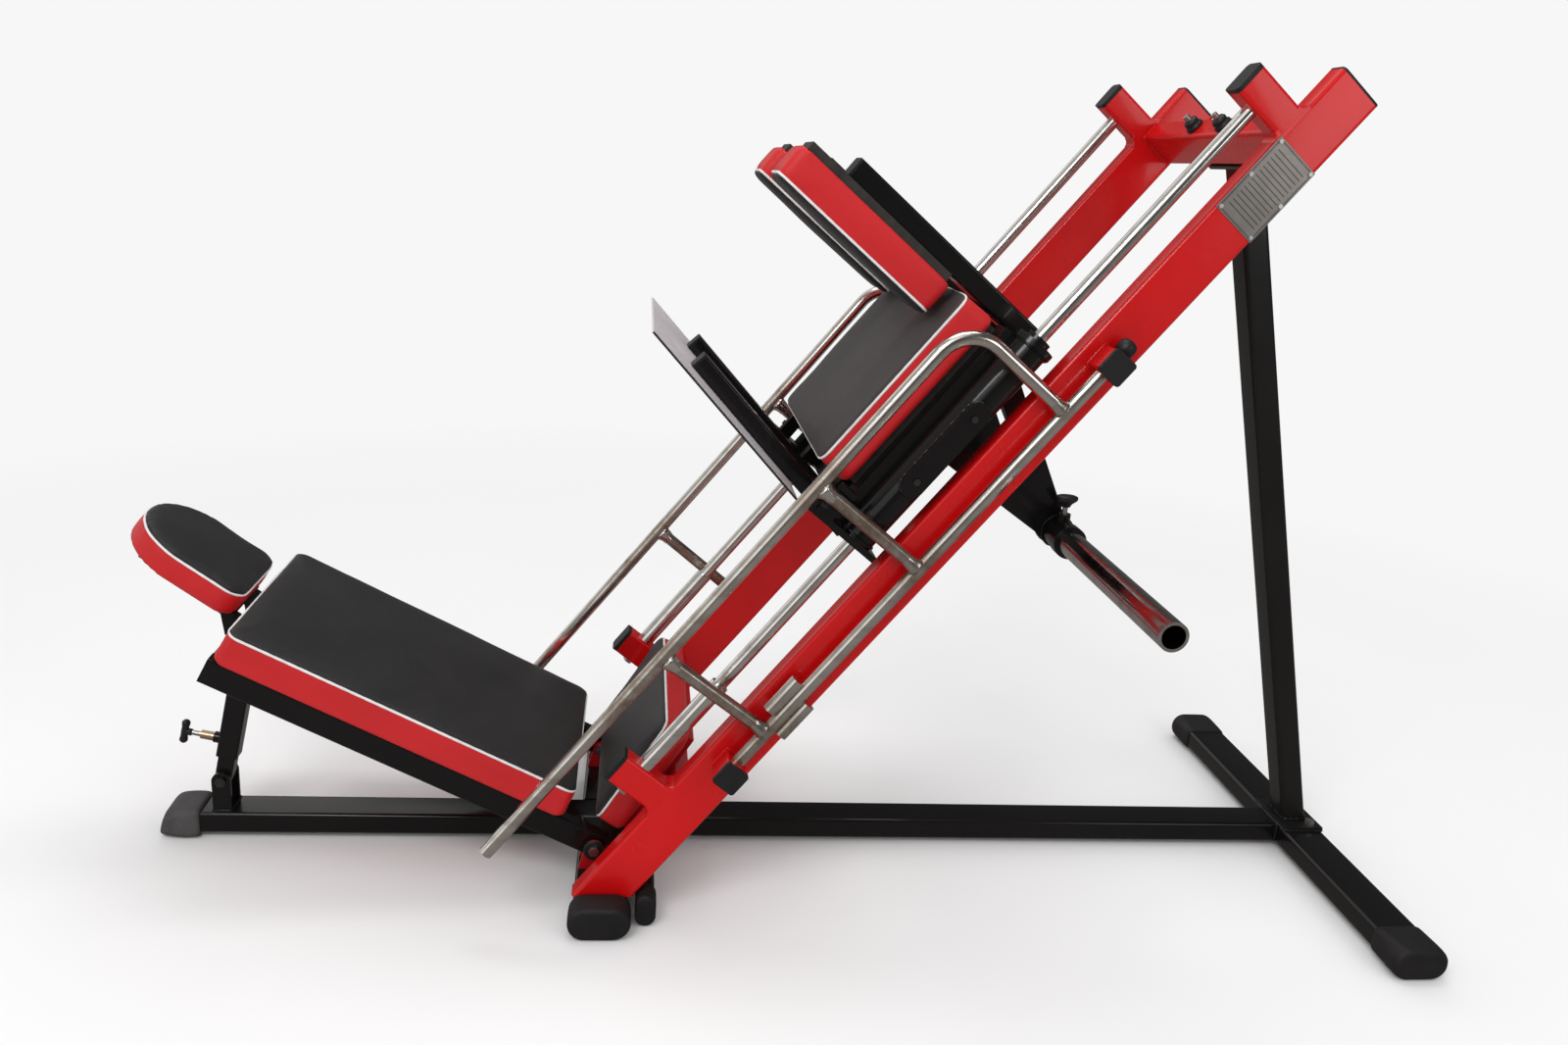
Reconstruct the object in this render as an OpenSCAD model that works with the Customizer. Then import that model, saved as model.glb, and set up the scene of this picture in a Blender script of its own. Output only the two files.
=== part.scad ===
// Combined leg press and hack squat machine: two inclined rails on a flat base, a carriage
// that slides on guide rods, swing-out lock handles, plate horns and an adjustable bench.
// Rail coordinates are [s, y, n]: s runs up the rails, n is square to them, y is across.

/* [Rails] */
// Angle of the rails above the floor, in degrees
rail_angle = 52.5; // [50:0.5:55]
// Height of a rail tube, square to its length
rail_h = 90; // [85:1:95]
// Width of a rail tube across the machine
rail_w = 45; // [40:1:50]
// Distance between the centre planes of the two rails
rail_pitch = 584; // [560:2:610]
// Distance from the floor line up to the top end of a rail
rail_top = 1935; // [1900:5:1990]
// Wall of the frame tubes
wall = 3; // [2:0.5:4]
// Radius of the rounded edges of the frame tubes
edge_r = 8; // [5:1:10]

/* [Guide rods and carriage] */
// Diameter of the chromed guide rods
rod_d = 25; // [22:0.5:28]
// Height of the guide rods above the underside of the rails
rod_n = 150; // [145:1:156]
// Length of a bearing sleeve
sleeve_len = 437; // [420:1:445]
// Outside diameter of a bearing sleeve
sleeve_d = 65; // [60:1:66]
// Place of the lower end of the sleeves along the rails
sleeve_s = 848; // [820:1:870]

/* [Pads] */
// Length of the back pad along the rails
back_pad_len = 381; // [360:1:385]
// Width of the back pad
back_pad_w = 524; // [440:2:530]
// Thickness of the back pad
back_pad_t = 72; // [50:1:76]
// Length of a shoulder pad, square to the rails
shoulder_pad_len = 352; // [300:1:360]
// Width of a shoulder pad
shoulder_pad_w = 130; // [100:1:140]
// Thickness of a shoulder pad
shoulder_pad_t = 68; // [50:1:70]
// Distance between the centres of the shoulder pads
shoulder_pitch = 330; // [300:2:350]
// Length of the seat pad along the rails
seat_len = 244; // [220:1:250]
// Width of the seat pad
seat_w = 444; // [400:2:460]
// Thickness of the seat pad
seat_t = 62; // [50:1:66]
// Length of the bench pad
bench_pad_len = 688; // [640:1:700]
// Width of the bench pad
bench_pad_w = 456; // [420:2:460]
// Thickness of the bench pad
bench_pad_t = 68; // [55:1:72]
// Length of the headrest pad
headrest_len = 238; // [220:1:250]
// Width of the headrest pad
headrest_w = 222; // [200:1:240]
// Thickness of the headrest pad
headrest_t = 56; // [45:1:60]

/* [Bench] */
// Slope of the bench below level, from its head end down to its hinge, in degrees
bench_angle = 26.5; // [25:0.5:28]
// Slope that the headrest adds to the bench, in degrees
headrest_extra = 9; // [5:1:12]

// Tilt of the seat away from the rails, in degrees
seat_tilt = 6; // [3:0.5:8]

/* [Lock handles and plate horns] */
// Diameter of the chromed handle tubes
handle_d = 25; // [22:1:28]
// Distance from a handle's pivot rod to its long tube
handle_reach = 238; // [225:1:245]
// Tilt of the released handles away from the machine, in degrees
handle_tilt = 4; // [4:0.5:8]
// Diameter of a plate horn
horn_d = 48; // [46:1:49]
// Length of a plate horn outside its collar
horn_len = 445; // [350:1:480]

/* [Base] */
// Width of the flat tubes of the feet
base_w = 90; // [84:1:95]
// Width of the long base rail
base_rail_w = 76; // [70:1:80]
// Height of the flat base tubes
base_h = 45; // [40:1:50]
// Thickness of the rubber under the base tubes
rubber_t = 10; // [6:1:14]
// Total width of the rear foot over its rubber boots
rear_foot_w = 1000; // [900:10:1100]
// Total width of the front foot over its rubber boots
front_foot_w = 748; // [730:2:760]

/* [Hidden] */
$fn = 64;

// Running clearance of a shaft in its bore, on the radius
run = 0.05;
// Oversize of cutting shapes
eps = 1;
// Size of the blocks that trim a tube end square to the floor or to the rails
trim = 400;

// Base
base_top = rubber_t + base_h;
base_left = -840;
rear_x = 1515;
front_x = -18;
front_w = 100;
rear_tube_half = rear_foot_w / 2 - 60;
front_tube_half = front_foot_w / 2 - 17;
small_x = 66;
small_w = 32;
small_half = 300;
boot_h = base_top + rubber_t;

// Rails, rods and their brackets
rail_y = rail_pitch / 2;
rod_r = rod_d / 2;
plug_t = 8;
low_stub_s = 225;
low_stub_w = 58;
top_stub_s = 1793;
top_stub_w = 56;
stub_top_n = 190;
collar_len = 206;
crossbar_s = 1808;
crossbar_w = 45;
crossbar_n = 5;
crossbar_h = 80;
stud_y = 58;
post_lean = 15.5;
post_w = 52;
post_d = 60;
flange_t = 8;

// Carriage
sleeve_r = sleeve_d / 2;
sleeve_end = sleeve_s + sleeve_len;
end_plate_t = 12;
end_plate_w = 64;
collar_r = 38;
bush_len = 40;
cross_n = 125;
cross_h = 50;
side_bar_y = 262;
side_bar_w = 44;
side_bar_n = 155;
board_n = 204;
board_t = 12;
pad_n = board_n + board_t;
back_pad_s = 902;
arm_s = sleeve_end + 5;
arm_d = 38;
arm_top_n = 556;
shoulder_board_t = 15;
shoulder_n = 303;
plate_lean = 9;
plate_arm_y = 112;
plate_arm_w = 32;
plate_arm_top = 278;
plate_t = 4;
catch_s = 883;
catch_n = 226;
catch_tip_y = 338;

// Plate horns and clamp knobs
horn_s = 1089;
horn_n = -182;
horn_r = horn_d / 2;
horn_tube_half = 238;
spigot_r = horn_r - 1;
clamp_y = 188;

// Lock handles
handle_r = handle_d / 2;
pivot_y = 342;
pivot_n = 44;
bracket_w = 45;
low_bracket_s = 366;
top_bracket_s = 1328;
bracket_end_y = 366;
cross_s = [487, catch_s];
handle_end_s = 5;
handle_top_s = 1243;
bend_r = 70;

// Bench, seat and strut
hinge_x = -35;
hinge_z = 97;
hinge_r = 8;
side_y = 200;
side_w = 30;
side_h = 50;
side_m = -22;
bench_end_a = 775;
pad_m = side_m + side_h + 2;
pad_a = 82;
head_a = 786;
head_m = 54;
seat_s = 108;
seat_n = 68;
strut_x = -775;
strut_z = 120;
pin_a = 745;
pin_m = -40;
outer_w = 40;
inner_w = 32;
pin_h = 80;
pull_x = 88;
ear_t = 6;

// Slope of the headrest and its lowest and highest places along X
head_slope = bench_angle + headrest_extra;
head_x = hinge_x - head_a * cos(bench_angle) + head_m * sin(bench_angle);
x_min = head_x - (headrest_len - headrest_w / 2) * cos(head_slope) - headrest_w / 2 * cos(head_slope);
x_max = rear_x + 54;
x_shift = -(x_min + x_max) / 2;

// Top pin of the strut, and the length and lean of the strut between its two pins
strut_top_x = hinge_x - pin_a * cos(bench_angle) + pin_m * sin(bench_angle);
strut_top_z = hinge_z + pin_a * sin(bench_angle) + pin_m * cos(bench_angle);
strut_len = norm([strut_top_x - strut_x, strut_top_z - strut_z]);
strut_lean = atan2(strut_top_x - strut_x, strut_top_z - strut_z);

// ---- Shapes that repeat -------------------------------------------------------------

// Rectangle with rounded corners, centred
module round_rect(w, h, r) {
    square([w - 2 * r, h], center = true);
    square([w, h - 2 * r], center = true);
    for (x = [-1, 1], y = [-1, 1]) translate([x * (w / 2 - r), y * (h / 2 - r)]) circle(r);
}

// Solid bar along +X with rounded edges: w across Y, h along Z, centred on the axis
module bar_x(len, w, h, r = edge_r) {
    rotate([90, 0, 90]) linear_extrude(len) round_rect(w, h, r);
}

// Hollow tube along +X
module tube_x(len, w, h, r = edge_r, t = wall) {
    difference() {
        bar_x(len, w, h, r);
        translate([-eps, 0, 0]) bar_x(len + 2 * eps, w - 2 * t, h - 2 * t, max(r - t, 1));
    }
}

// Hollow tube along Y, centred: w along X, h along Z
module tube_y(len, w, h, r = edge_r, t = wall) {
    rotate([0, 0, 90]) translate([-len / 2, 0, 0]) tube_x(len, w, h, r, t);
}

// Hollow tube along Z: w along X, d along Y
module tube_z(len, w, d, r = edge_r, t = wall) {
    difference() {
        linear_extrude(len) round_rect(w, d, r);
        translate([0, 0, -eps]) linear_extrude(len + 2 * eps) round_rect(w - 2 * t, d - 2 * t, max(r - t, 1));
    }
}

// Round bar along +X
module rod_x(len, r) { rotate([0, 90, 0]) cylinder(h = len, r = r); }

// Round bar along Y, centred
module rod_y(len, r) { rotate([90, 0, 0]) cylinder(h = len, r = r, center = true); }

// Hexagon bolt head or nut on +Z
module hex(across, h) { cylinder(h = h, r = across / sqrt(3), $fn = 6); }

// Machine coordinates, with the origin on the floor under the middle of the machine
module machine() { translate([x_shift, 0, 0]) children(); }

// Rail coordinates
module on_rails() { machine() rotate([0, -rail_angle, 0]) children(); }

// Bench coordinates: -x runs from the hinge up to the head end, z is square to the bench
module on_bench() { machine() translate([hinge_x, 0, hinge_z]) rotate([0, bench_angle, 0]) children(); }

// Strut coordinates: z runs up the strut from its base bolt
module on_strut() { machine() translate([strut_x, 0, strut_z]) rotate([0, strut_lean, 0]) children(); }

// Both sides of the machine
module both() { for (side = [-1, 1]) scale_side(side) children(); }

// The near side as drawn, or the far side as its mirror image
module scale_side(side) { if (side < 0) children(); else mirror([0, 1, 0]) children(); }

// ---- Base ---------------------------------------------------------------------------

module base_rail() {
    base_len = rear_x - base_w / 2 - base_left;
    color("#141414") machine()
        translate([base_left, 0, rubber_t + base_h / 2]) tube_x(base_len, base_rail_w, base_h);
}

// Rubber boot along +X around a flat tube; the socket is open at x = 0
module boot(len, w, tube_w, socket) {
    difference() {
        translate([0, 0, boot_h / 2]) bar_x(len, w, boot_h, min(24, w / 2 - 2));
        translate([-eps, 0, rubber_t + base_h / 2]) bar_x(socket + eps, tube_w, base_h);
    }
}

module base_end_cap() {
    overlap = 25;
    color("#4a4a4c") machine() translate([base_left + overlap, 0, 0]) rotate([0, 0, 180])
        boot(82, base_rail_w + 18, base_rail_w, overlap);
}

module front_feet() {
    color("#141414") machine() both() {
        translate([front_x, -(base_rail_w / 2 + front_tube_half) / 2, rubber_t + base_h / 2])
            tube_y(front_tube_half - base_rail_w / 2, front_w, base_h);
        translate([small_x, -(base_rail_w / 2 + small_half) / 2, rubber_t + base_h / 2])
            tube_y(small_half - base_rail_w / 2, small_w, base_h);
    }
}

module front_foot_caps() {
    boot_len = front_foot_w / 2 - (rail_y + rail_w / 2 + 0.5);
    small_boot = 50;
    color("#1b1a1c") machine() both() {
        translate([front_x, -front_foot_w / 2 + boot_len, 0]) rotate([0, 0, -90])
            boot(boot_len, 116, front_w, boot_len - 17);
        translate([small_x, -small_half + 20, 0]) rotate([0, 0, -90])
            boot(small_boot, small_w + 8, small_w, 20);
    }
}

module rear_foot() {
    color("#141414") machine() translate([rear_x, 0, rubber_t + base_h / 2])
        tube_y(2 * rear_tube_half, base_w, base_h);
}

module rear_foot_caps() {
    boot_len = 92;
    color("#1b1a1c") machine() both() translate([rear_x, -rear_foot_w / 2 + boot_len, 0]) rotate([0, 0, -90])
        boot(boot_len, 108, base_w, boot_len - 60);
}

// ---- Rails --------------------------------------------------------------------------

module side_rails() {
    color("#c5171b") difference() {
        on_rails() both() translate([0, -rail_y, rail_h / 2]) tube_x(rail_top, rail_w, rail_h);
        machine() translate([-trim, -trim, base_top - trim]) cube([2 * trim, 2 * trim, trim]);
    }
}

// Plastic plugs that close the rail tops and the rod brackets
module tube_plugs() {
    color("#1c1c1e") on_rails() both() {
        translate([rail_top, -rail_y, rail_h / 2]) bar_x(4, rail_w, rail_h);
        for (stub = [[low_stub_s, low_stub_w], [top_stub_s, top_stub_w]])
            translate([stub[0] + stub[1] / 2, -rail_y, stub_top_n]) linear_extrude(plug_t)
                round_rect(stub[1], rail_w, edge_r);
    }
}

// Tube stubs that stand on the rails and hold the ends of the guide rods
module rod_brackets() {
    color("#c5171b") on_rails() both() difference() {
        for (stub = [[low_stub_s, low_stub_w], [top_stub_s, top_stub_w]])
            translate([stub[0] + stub[1] / 2, -rail_y, rail_h]) tube_z(stub_top_n - rail_h, stub[1], rail_w);
        translate([low_stub_s + low_stub_w / 2, -rail_y, rod_n])
            rod_x(top_stub_s + top_stub_w / 2 - low_stub_s - low_stub_w / 2, rod_r + run);
        translate([low_stub_s - eps, -rail_y, rod_n]) rod_x(low_stub_w / 2, 6 + run);
    }
}

module guide_rods() {
    start = low_stub_s + low_stub_w - 15;
    color("#b9b6ae") on_rails() both() translate([start, -rail_y, rod_n])
        rod_x(top_stub_s + 15 - start, rod_r);
}

// Thick sleeves on the lower ends of the guide rods that stop the carriage
module rod_collars() {
    start = low_stub_s + low_stub_w;
    color("#aaa79f") on_rails() both() translate([start, -rail_y, rod_n]) difference() {
        rod_x(collar_len, 17);
        translate([-eps, 0, 0]) rod_x(collar_len + 2 * eps, rod_r + run);
    }
}

module crossbar() {
    color("#c5171b") on_rails() difference() {
        translate([crossbar_s + crossbar_w / 2, 0, crossbar_n + crossbar_h / 2])
            tube_y(rail_pitch - rail_w, crossbar_w, crossbar_h);
        for (y = [-stud_y, stud_y]) translate([crossbar_s + crossbar_w / 2, y, -eps])
            cylinder(h = crossbar_h + 10, r = 6 + run);
    }
}

// Domed nuts on the studs of the crossbar
module crossbar_nuts() {
    top = crossbar_n + crossbar_h;
    color("#1c1c1e") on_rails() for (y = [-stud_y, stud_y])
        translate([crossbar_s + crossbar_w / 2, y, top]) difference() {
            union() {
                cylinder(h = 8, r = 16);
                translate([0, 0, 8]) cylinder(h = 12, r = 13);
            }
            translate([0, 0, -eps]) cylinder(h = 30, r = 6 + run);
        }
}

module upright_post() {
    color("#141414") difference() {
        union() {
            machine() translate([rear_x - 1, 0, base_top]) rotate([0, -post_lean, 0])
                translate([0, 0, -30]) tube_z(1600, post_w, post_d);
            machine() translate([rear_x - base_w / 2, -65, base_top]) cube([base_w, 130, flange_t]);
        }
        machine() translate([rear_x - trim, -trim, base_top - trim]) cube([2 * trim, 2 * trim, trim]);
        on_rails() translate([1000, -trim, crossbar_n - flange_t]) cube([1500, 2 * trim, trim]);
        machine() for (y = [-48, 48]) translate([rear_x + 22, y, base_top - eps]) cylinder(h = 12, r = 6 + run);
    }
    color("#141414") on_rails() difference() {
        translate([crossbar_s - 2, -80, crossbar_n - flange_t]) cube([76, 160, flange_t]);
        for (y = [-stud_y, stud_y]) translate([crossbar_s + crossbar_w / 2, y, crossbar_n - flange_t - eps])
            cylinder(h = flange_t + 2 * eps, r = 6 + run);
    }
}

// Studs of the crossbar, bolts of the rod ends and bolts of the upright's foot
module frame_bolts() {
    color("#a8a8a6") on_rails() {
        for (y = [-stud_y, stud_y]) translate([crossbar_s + crossbar_w / 2, y, 0]) {
            translate([0, 0, crossbar_n - flange_t - 8]) hex(19, 8);
            translate([0, 0, crossbar_n - flange_t]) cylinder(h = crossbar_h + flange_t + 30, r = 6);
        }
        both() translate([low_stub_s, -rail_y, rod_n]) {
            translate([-8, 0, 0]) rotate([0, 90, 0]) hex(19, 8);
            rod_x(low_stub_w - 15, 6);
        }
    }
    color("#a8a8a6") machine() for (y = [-48, 48]) translate([rear_x + 22, y, base_top]) {
        cylinder(h = flange_t, r = 6);
        translate([0, 0, flange_t]) hex(19, 9);
    }
}

// Blank metal plate on the outside of the near rail
module name_plate() {
    color("#b5b3ae") on_rails() translate([1650, -rail_y - rail_w / 2 - 1.2, 0.8]) difference() {
        cube([147, 1.2, 88.4]);
        for (x = [6, 73.5, 141], z = [6, 82.4]) translate([x, 0.6, z]) rod_y(3, 2);
    }
}

module plate_rivets() {
    color("#8d8b86") on_rails() translate([1650, -rail_y - rail_w / 2 - 1.2, 0.8])
        for (x = [6, 73.5, 141], z = [6, 82.4]) translate([x, 0, z]) {
            translate([0, 0.6, 0]) rod_y(1.2, 1.95);
            translate([0, -0.9, 0]) rod_y(1.8, 3.6);
        }
}

// ---- Lock handle brackets -------------------------------------------------------------

module handle_brackets() {
    mid_y = (rail_y + rail_w / 2 + bracket_end_y) / 2;
    color("#c5171b") on_rails() both() difference() {
        for (s = [low_bracket_s, top_bracket_s]) translate([s + bracket_w / 2, -mid_y, pivot_n])
            tube_y(bracket_end_y - rail_y - rail_w / 2, bracket_w, bracket_w, 5);
        translate([low_bracket_s + bracket_w / 2, -pivot_y, pivot_n])
            rod_x(top_bracket_s + bracket_w - low_bracket_s, handle_r + run);
    }
}

module handle_bracket_caps() {
    color("#1c1c1e") on_rails() both() for (s = [low_bracket_s, top_bracket_s])
        translate([s + bracket_w / 2, -bracket_end_y, pivot_n]) rotate([90, 0, 0])
            linear_extrude(plug_t) round_rect(bracket_w + 3, bracket_w + 3, 6);
}

// ---- Seat and bench hinge -------------------------------------------------------------

// One hinge plate in the XZ plane, t thick along +Y
module hinge_plate(t) {
    difference() {
        rotate([90, 0, 0]) translate([0, 0, -t]) linear_extrude(t) {
            translate([hinge_x, hinge_z]) circle(18);
            polygon([[-64, base_top], [-4, base_top], [hinge_x + 18, hinge_z], [hinge_x - 18, hinge_z]]);
        }
        translate([hinge_x, 0, hinge_z]) rod_y(3 * t, hinge_r + run);
    }
}

module hinge_ears() {
    color("#b5181b") machine() both() {
        translate([0, -side_y - side_w / 2 - 3 - ear_t, 0]) hinge_plate(ear_t);
        translate([0, -side_y + side_w / 2 + 3, 0]) hinge_plate(ear_t);
    }
}

module hinge_bolts() {
    half = side_w / 2 + 3 + ear_t;
    color("#98968f") machine() both() translate([hinge_x, -side_y, hinge_z]) {
        rod_y(2 * half + 20, hinge_r);
        translate([0, -half, 0]) rotate([90, 0, 0]) difference() {
            union() {
                cylinder(h = 2.5, r = 15);
                translate([0, 0, 2.5]) hex(19, 7);
            }
            translate([0, 0, -eps]) cylinder(h = 12, r = hinge_r);
        }
        translate([0, half, 0]) rotate([-90, 0, 0]) difference() {
            hex(24, 8);
            translate([0, 0, -eps]) cylinder(h = 12, r = hinge_r);
        }
    }
}

// Seat coordinates: x runs up the seat from its lower end, z = 0 is its underside
module on_seat() { on_rails() translate([seat_s, 0, seat_n]) rotate([0, -seat_tilt, 0]) children(); }

module seat_bracket() {
    color("#b5181b") {
        on_rails() for (x = [35, seat_len - 95]) translate([seat_s + x, 0, seat_n - 30 + x * tan(seat_tilt)])
            tube_y(rail_pitch - rail_w, 40, 40, 5);
        on_seat() translate([10, -seat_w / 2 + 20, -12]) cube([seat_len - 20, seat_w - 40, 12]);
    }
}

module seat_pad() {
    color("#252324") on_seat() translate([seat_len / 2, 0, 0])
        linear_extrude(seat_t) round_rect(seat_len, seat_w, 25);
}

// ---- Strut clevis ---------------------------------------------------------------------

module strut_ears() {
    color("#141414") machine() for (y = [-27, 21]) translate([0, y, 0]) difference() {
        rotate([90, 0, 0]) translate([0, 0, -ear_t]) linear_extrude(ear_t) {
            translate([strut_x, strut_z]) circle(18);
            translate([strut_x - 18, base_top]) square([36, strut_z - base_top]);
        }
        translate([strut_x, 0, strut_z]) rod_y(30, 6 + run);
    }
}

module strut_bolt() {
    color("#55534f") machine() translate([strut_x, 0, strut_z]) {
        rod_y(68, 6);
        translate([0, -27, 0]) rotate([90, 0, 0]) difference() {
            hex(19, 6);
            translate([0, 0, -eps]) cylinder(h = 9, r = 6);
        }
        translate([0, 27, 0]) rotate([-90, 0, 0]) difference() {
            hex(19, 6);
            translate([0, 0, -eps]) cylinder(h = 9, r = 6);
        }
    }
}

// ---- Carriage -------------------------------------------------------------------------

module bearing_sleeves() {
    color("#101011") on_rails() both() translate([sleeve_s, -rail_y, rod_n]) difference() {
        rod_x(sleeve_len, sleeve_r);
        translate([-eps, 0, 0]) rod_x(sleeve_len + 2 * eps, sleeve_r - 4);
    }
}

module guide_bushes() {
    color("#d9d6cc") on_rails() both() for (s = [sleeve_s, sleeve_end - bush_len])
        translate([s, -rail_y, rod_n]) difference() {
            rod_x(bush_len, sleeve_r - 4);
            translate([-eps, 0, 0]) rod_x(bush_len + 2 * eps, rod_r + run);
        }
}

// End plates of the sleeves, with the forked catches for the lock handles
module catch_plates() {
    low_n = 108;
    fork_w = 10;
    gap = handle_d + 5;
    block_y = rail_y + end_plate_w / 2;
    color("#101011") on_rails() both() difference() {
        union() {
            translate([sleeve_s - end_plate_t, -block_y, low_n]) cube([end_plate_t, end_plate_w, 150]);
            translate([sleeve_end, -rail_y, rod_n]) rod_x(end_plate_t, collar_r);
            translate([sleeve_end + end_plate_t, -rail_y, rod_n]) rod_x(10, 23);
            translate([sleeve_s, -block_y, catch_n - 14]) cube([catch_s + gap / 2 + fork_w - sleeve_s, 22, 28]);
            for (s = [catch_s - gap / 2 - fork_w, catch_s + gap / 2])
                translate([s, -catch_tip_y, catch_n - 14]) cube([fork_w, catch_tip_y - block_y + 1, 28]);
        }
        translate([sleeve_s - trim / 2, -rail_y, rod_n]) rod_x(sleeve_len + trim, rod_r + 2);
    }
}

// Oblong plates welded on the outside of the sleeves
module bush_plates() {
    mid_s = 1063;
    color("#131314") on_rails() both() difference() {
        translate([mid_s, -rail_y - sleeve_r + 8, rod_n]) rotate([90, 0, 0]) linear_extrude(13) {
            square([160, 42], center = true);
            for (s = [-80, 80]) translate([s, 0]) circle(21);
        }
        translate([mid_s - 150, -rail_y, rod_n]) rod_x(300, sleeve_r);
        for (s = [mid_s - 71, mid_s + 71]) translate([s, -rail_y - sleeve_r, rod_n]) rod_y(40, 3 + run);
    }
}

module bush_screws() {
    mid_s = 1063;
    color("#2a2a2c") on_rails() both() for (s = [mid_s - 71, mid_s + 71])
        translate([s, -rail_y - sleeve_r - 5, rod_n]) rotate([90, 0, 0]) {
            cylinder(h = 4, r = 6);
            translate([0, 0, -5]) cylinder(h = 5, r = 3);
        }
}

// Cross tubes between the sleeves with the bars that carry the back board and the hangers
module carriage_frame() {
    color("#101011") on_rails() {
        difference() {
            union() {
                for (s = [sleeve_s + 27, sleeve_end - 20]) translate([s, 0, cross_n + cross_h / 2])
                    tube_y(rail_pitch - 14, cross_h, cross_h, 5);
                both() translate([sleeve_s + 2, -side_bar_y - side_bar_w / 2, side_bar_n])
                    cube([sleeve_len - 4, side_bar_w, board_n - side_bar_n]);
            }
            both() translate([sleeve_s - 50, -rail_y, rod_n]) rod_x(sleeve_len + 100, sleeve_r);
            both() translate([sleeve_end, -rail_y, rod_n]) rod_x(end_plate_t, collar_r);
        }
        both() {
            translate([sleeve_s + 2, -170, cross_n + cross_h])
                cube([sleeve_len - 2, 30, board_n - cross_n - cross_h]);
            translate([sleeve_s + 2, -170, cross_n - 25]) cube([sleeve_len - 2, 40, 25]);
        }
    }
}

module back_board() {
    color("#1a1715") on_rails() translate([back_pad_s + 12, -back_pad_w / 2 + 15, board_n])
        cube([back_pad_len - 24, back_pad_w - 30, board_t]);
}

module back_pad() {
    color("#252324") on_rails() translate([back_pad_s + back_pad_len / 2, 0, pad_n])
        linear_extrude(back_pad_t) round_rect(back_pad_len, back_pad_w, 28);
}

module shoulder_arms() {
    color("#101011") on_rails() both() translate([arm_s + arm_d / 2, -shoulder_pitch / 2, cross_n + 5])
        tube_z(arm_top_n - cross_n - 5, arm_d, 60, 5);
}

module shoulder_boards() {
    color("#1a1715") on_rails() both()
        translate([arm_s - shoulder_board_t, -(shoulder_pitch + shoulder_pad_w) / 2 + 10, shoulder_n + 15])
            cube([shoulder_board_t, shoulder_pad_w - 20, shoulder_pad_len - 30]);
}

module shoulder_pads() {
    face_s = arm_s - shoulder_board_t - shoulder_pad_t;
    mid_n = shoulder_n + shoulder_pad_len / 2;
    color("#c01d22") on_rails() both() translate([face_s, -shoulder_pitch / 2, mid_n])
        rotate([0, 90, 0]) linear_extrude(shoulder_pad_t)
            round_rect(shoulder_pad_len, shoulder_pad_w, 22);
}

// Leaning coordinates of the foot plate: x = 0 is the front face of its arms
module on_foot_plate() {
    on_rails() translate([828, 0, 260]) rotate([0, plate_lean, 0]) children();
}

module foot_plate() {
    color("#c9cacb") on_foot_plate() translate([-plate_t, -250, 2]) cube([plate_t, 500, 382]);
}

module foot_plate_arms() {
    color("#101011") difference() {
        on_foot_plate() both() translate([plate_arm_w / 2, -plate_arm_y, -140])
            tube_z(plate_arm_top + 140, plate_arm_w, 40, 5);
        on_rails() translate([sleeve_s + 2, -trim, cross_n - 30]) cube([cross_h, 2 * trim, cross_h + 30]);
    }
}

// Plugs in the open ends of the shoulder arms and the foot plate arms
module arm_plugs() {
    color("#1c1c1e") {
        on_rails() both() translate([arm_s + arm_d / 2, -shoulder_pitch / 2, arm_top_n])
            linear_extrude(4) round_rect(arm_d, 60, 5);
        on_foot_plate() both() translate([plate_arm_w / 2, -plate_arm_y, plate_arm_top])
            linear_extrude(4) round_rect(plate_arm_w, 40, 5);
    }
}

// V-shaped hangers between the carriage and the horn tube
module horn_hangers() {
    top = cross_n - 25;
    color("#101011") on_rails() difference() {
        both() translate([0, -130, 0]) rotate([90, 0, 0]) linear_extrude(32) {
            polygon([[1205, top], [1255, top], [horn_s + 25, horn_n], [horn_s - 10, horn_n]]);
            polygon([[1042, top], [1092, top], [horn_s + 10, horn_n], [horn_s - 26, horn_n]]);
            polygon([[1080, -40], [1150, -40], [horn_s + 20, horn_n], [horn_s - 20, horn_n]]);
        }
        translate([horn_s, 0, horn_n]) rod_y(600, 28);
    }
}

// Cross tube of the plate horns, with end collars and bosses for the clamp screws
module horn_tube() {
    color("#101011") on_rails() translate([horn_s, 0, horn_n]) difference() {
        union() {
            rod_y(2 * horn_tube_half, 28);
            both() translate([0, -horn_tube_half + 13, 0]) rod_y(26, 31);
            both() translate([0, -clamp_y, 0]) rotate([0, rail_angle, 0]) cylinder(h = 42, r = 12);
        }
        rod_y(2 * horn_tube_half + 2 * eps, spigot_r + run);
        both() translate([0, -clamp_y, 0]) rotate([0, rail_angle, 0]) cylinder(h = 60, r = 5 + run);
    }
}

// One plate horn: a turned-down spigot inside the horn tube and the open pipe outside it
module plate_horn() {
    shoulder = horn_tube_half + 0.5;
    on_rails() translate([horn_s, 0, horn_n]) difference() {
        union() {
            translate([0, -(60 + shoulder) / 2, 0]) rod_y(shoulder - 60, spigot_r);
            translate([0, -shoulder - horn_len / 2, 0]) rod_y(horn_len, horn_r);
        }
        translate([0, -(60 + shoulder + horn_len) / 2, 0]) rod_y(shoulder + horn_len, horn_r - 5);
    }
}

module near_horn() { color("#b9b6ae") plate_horn(); }
module far_horn() { color("#b9b6ae") mirror([0, 1, 0]) plate_horn(); }

// Upright coordinates at a clamp screw
module on_clamp() {
    on_rails() translate([horn_s, -clamp_y, horn_n]) rotate([0, rail_angle, 0]) children();
}

module clamp_screw() { on_clamp() translate([0, 0, spigot_r + 0.4]) cylinder(h = 66 - spigot_r, r = 5); }

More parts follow.
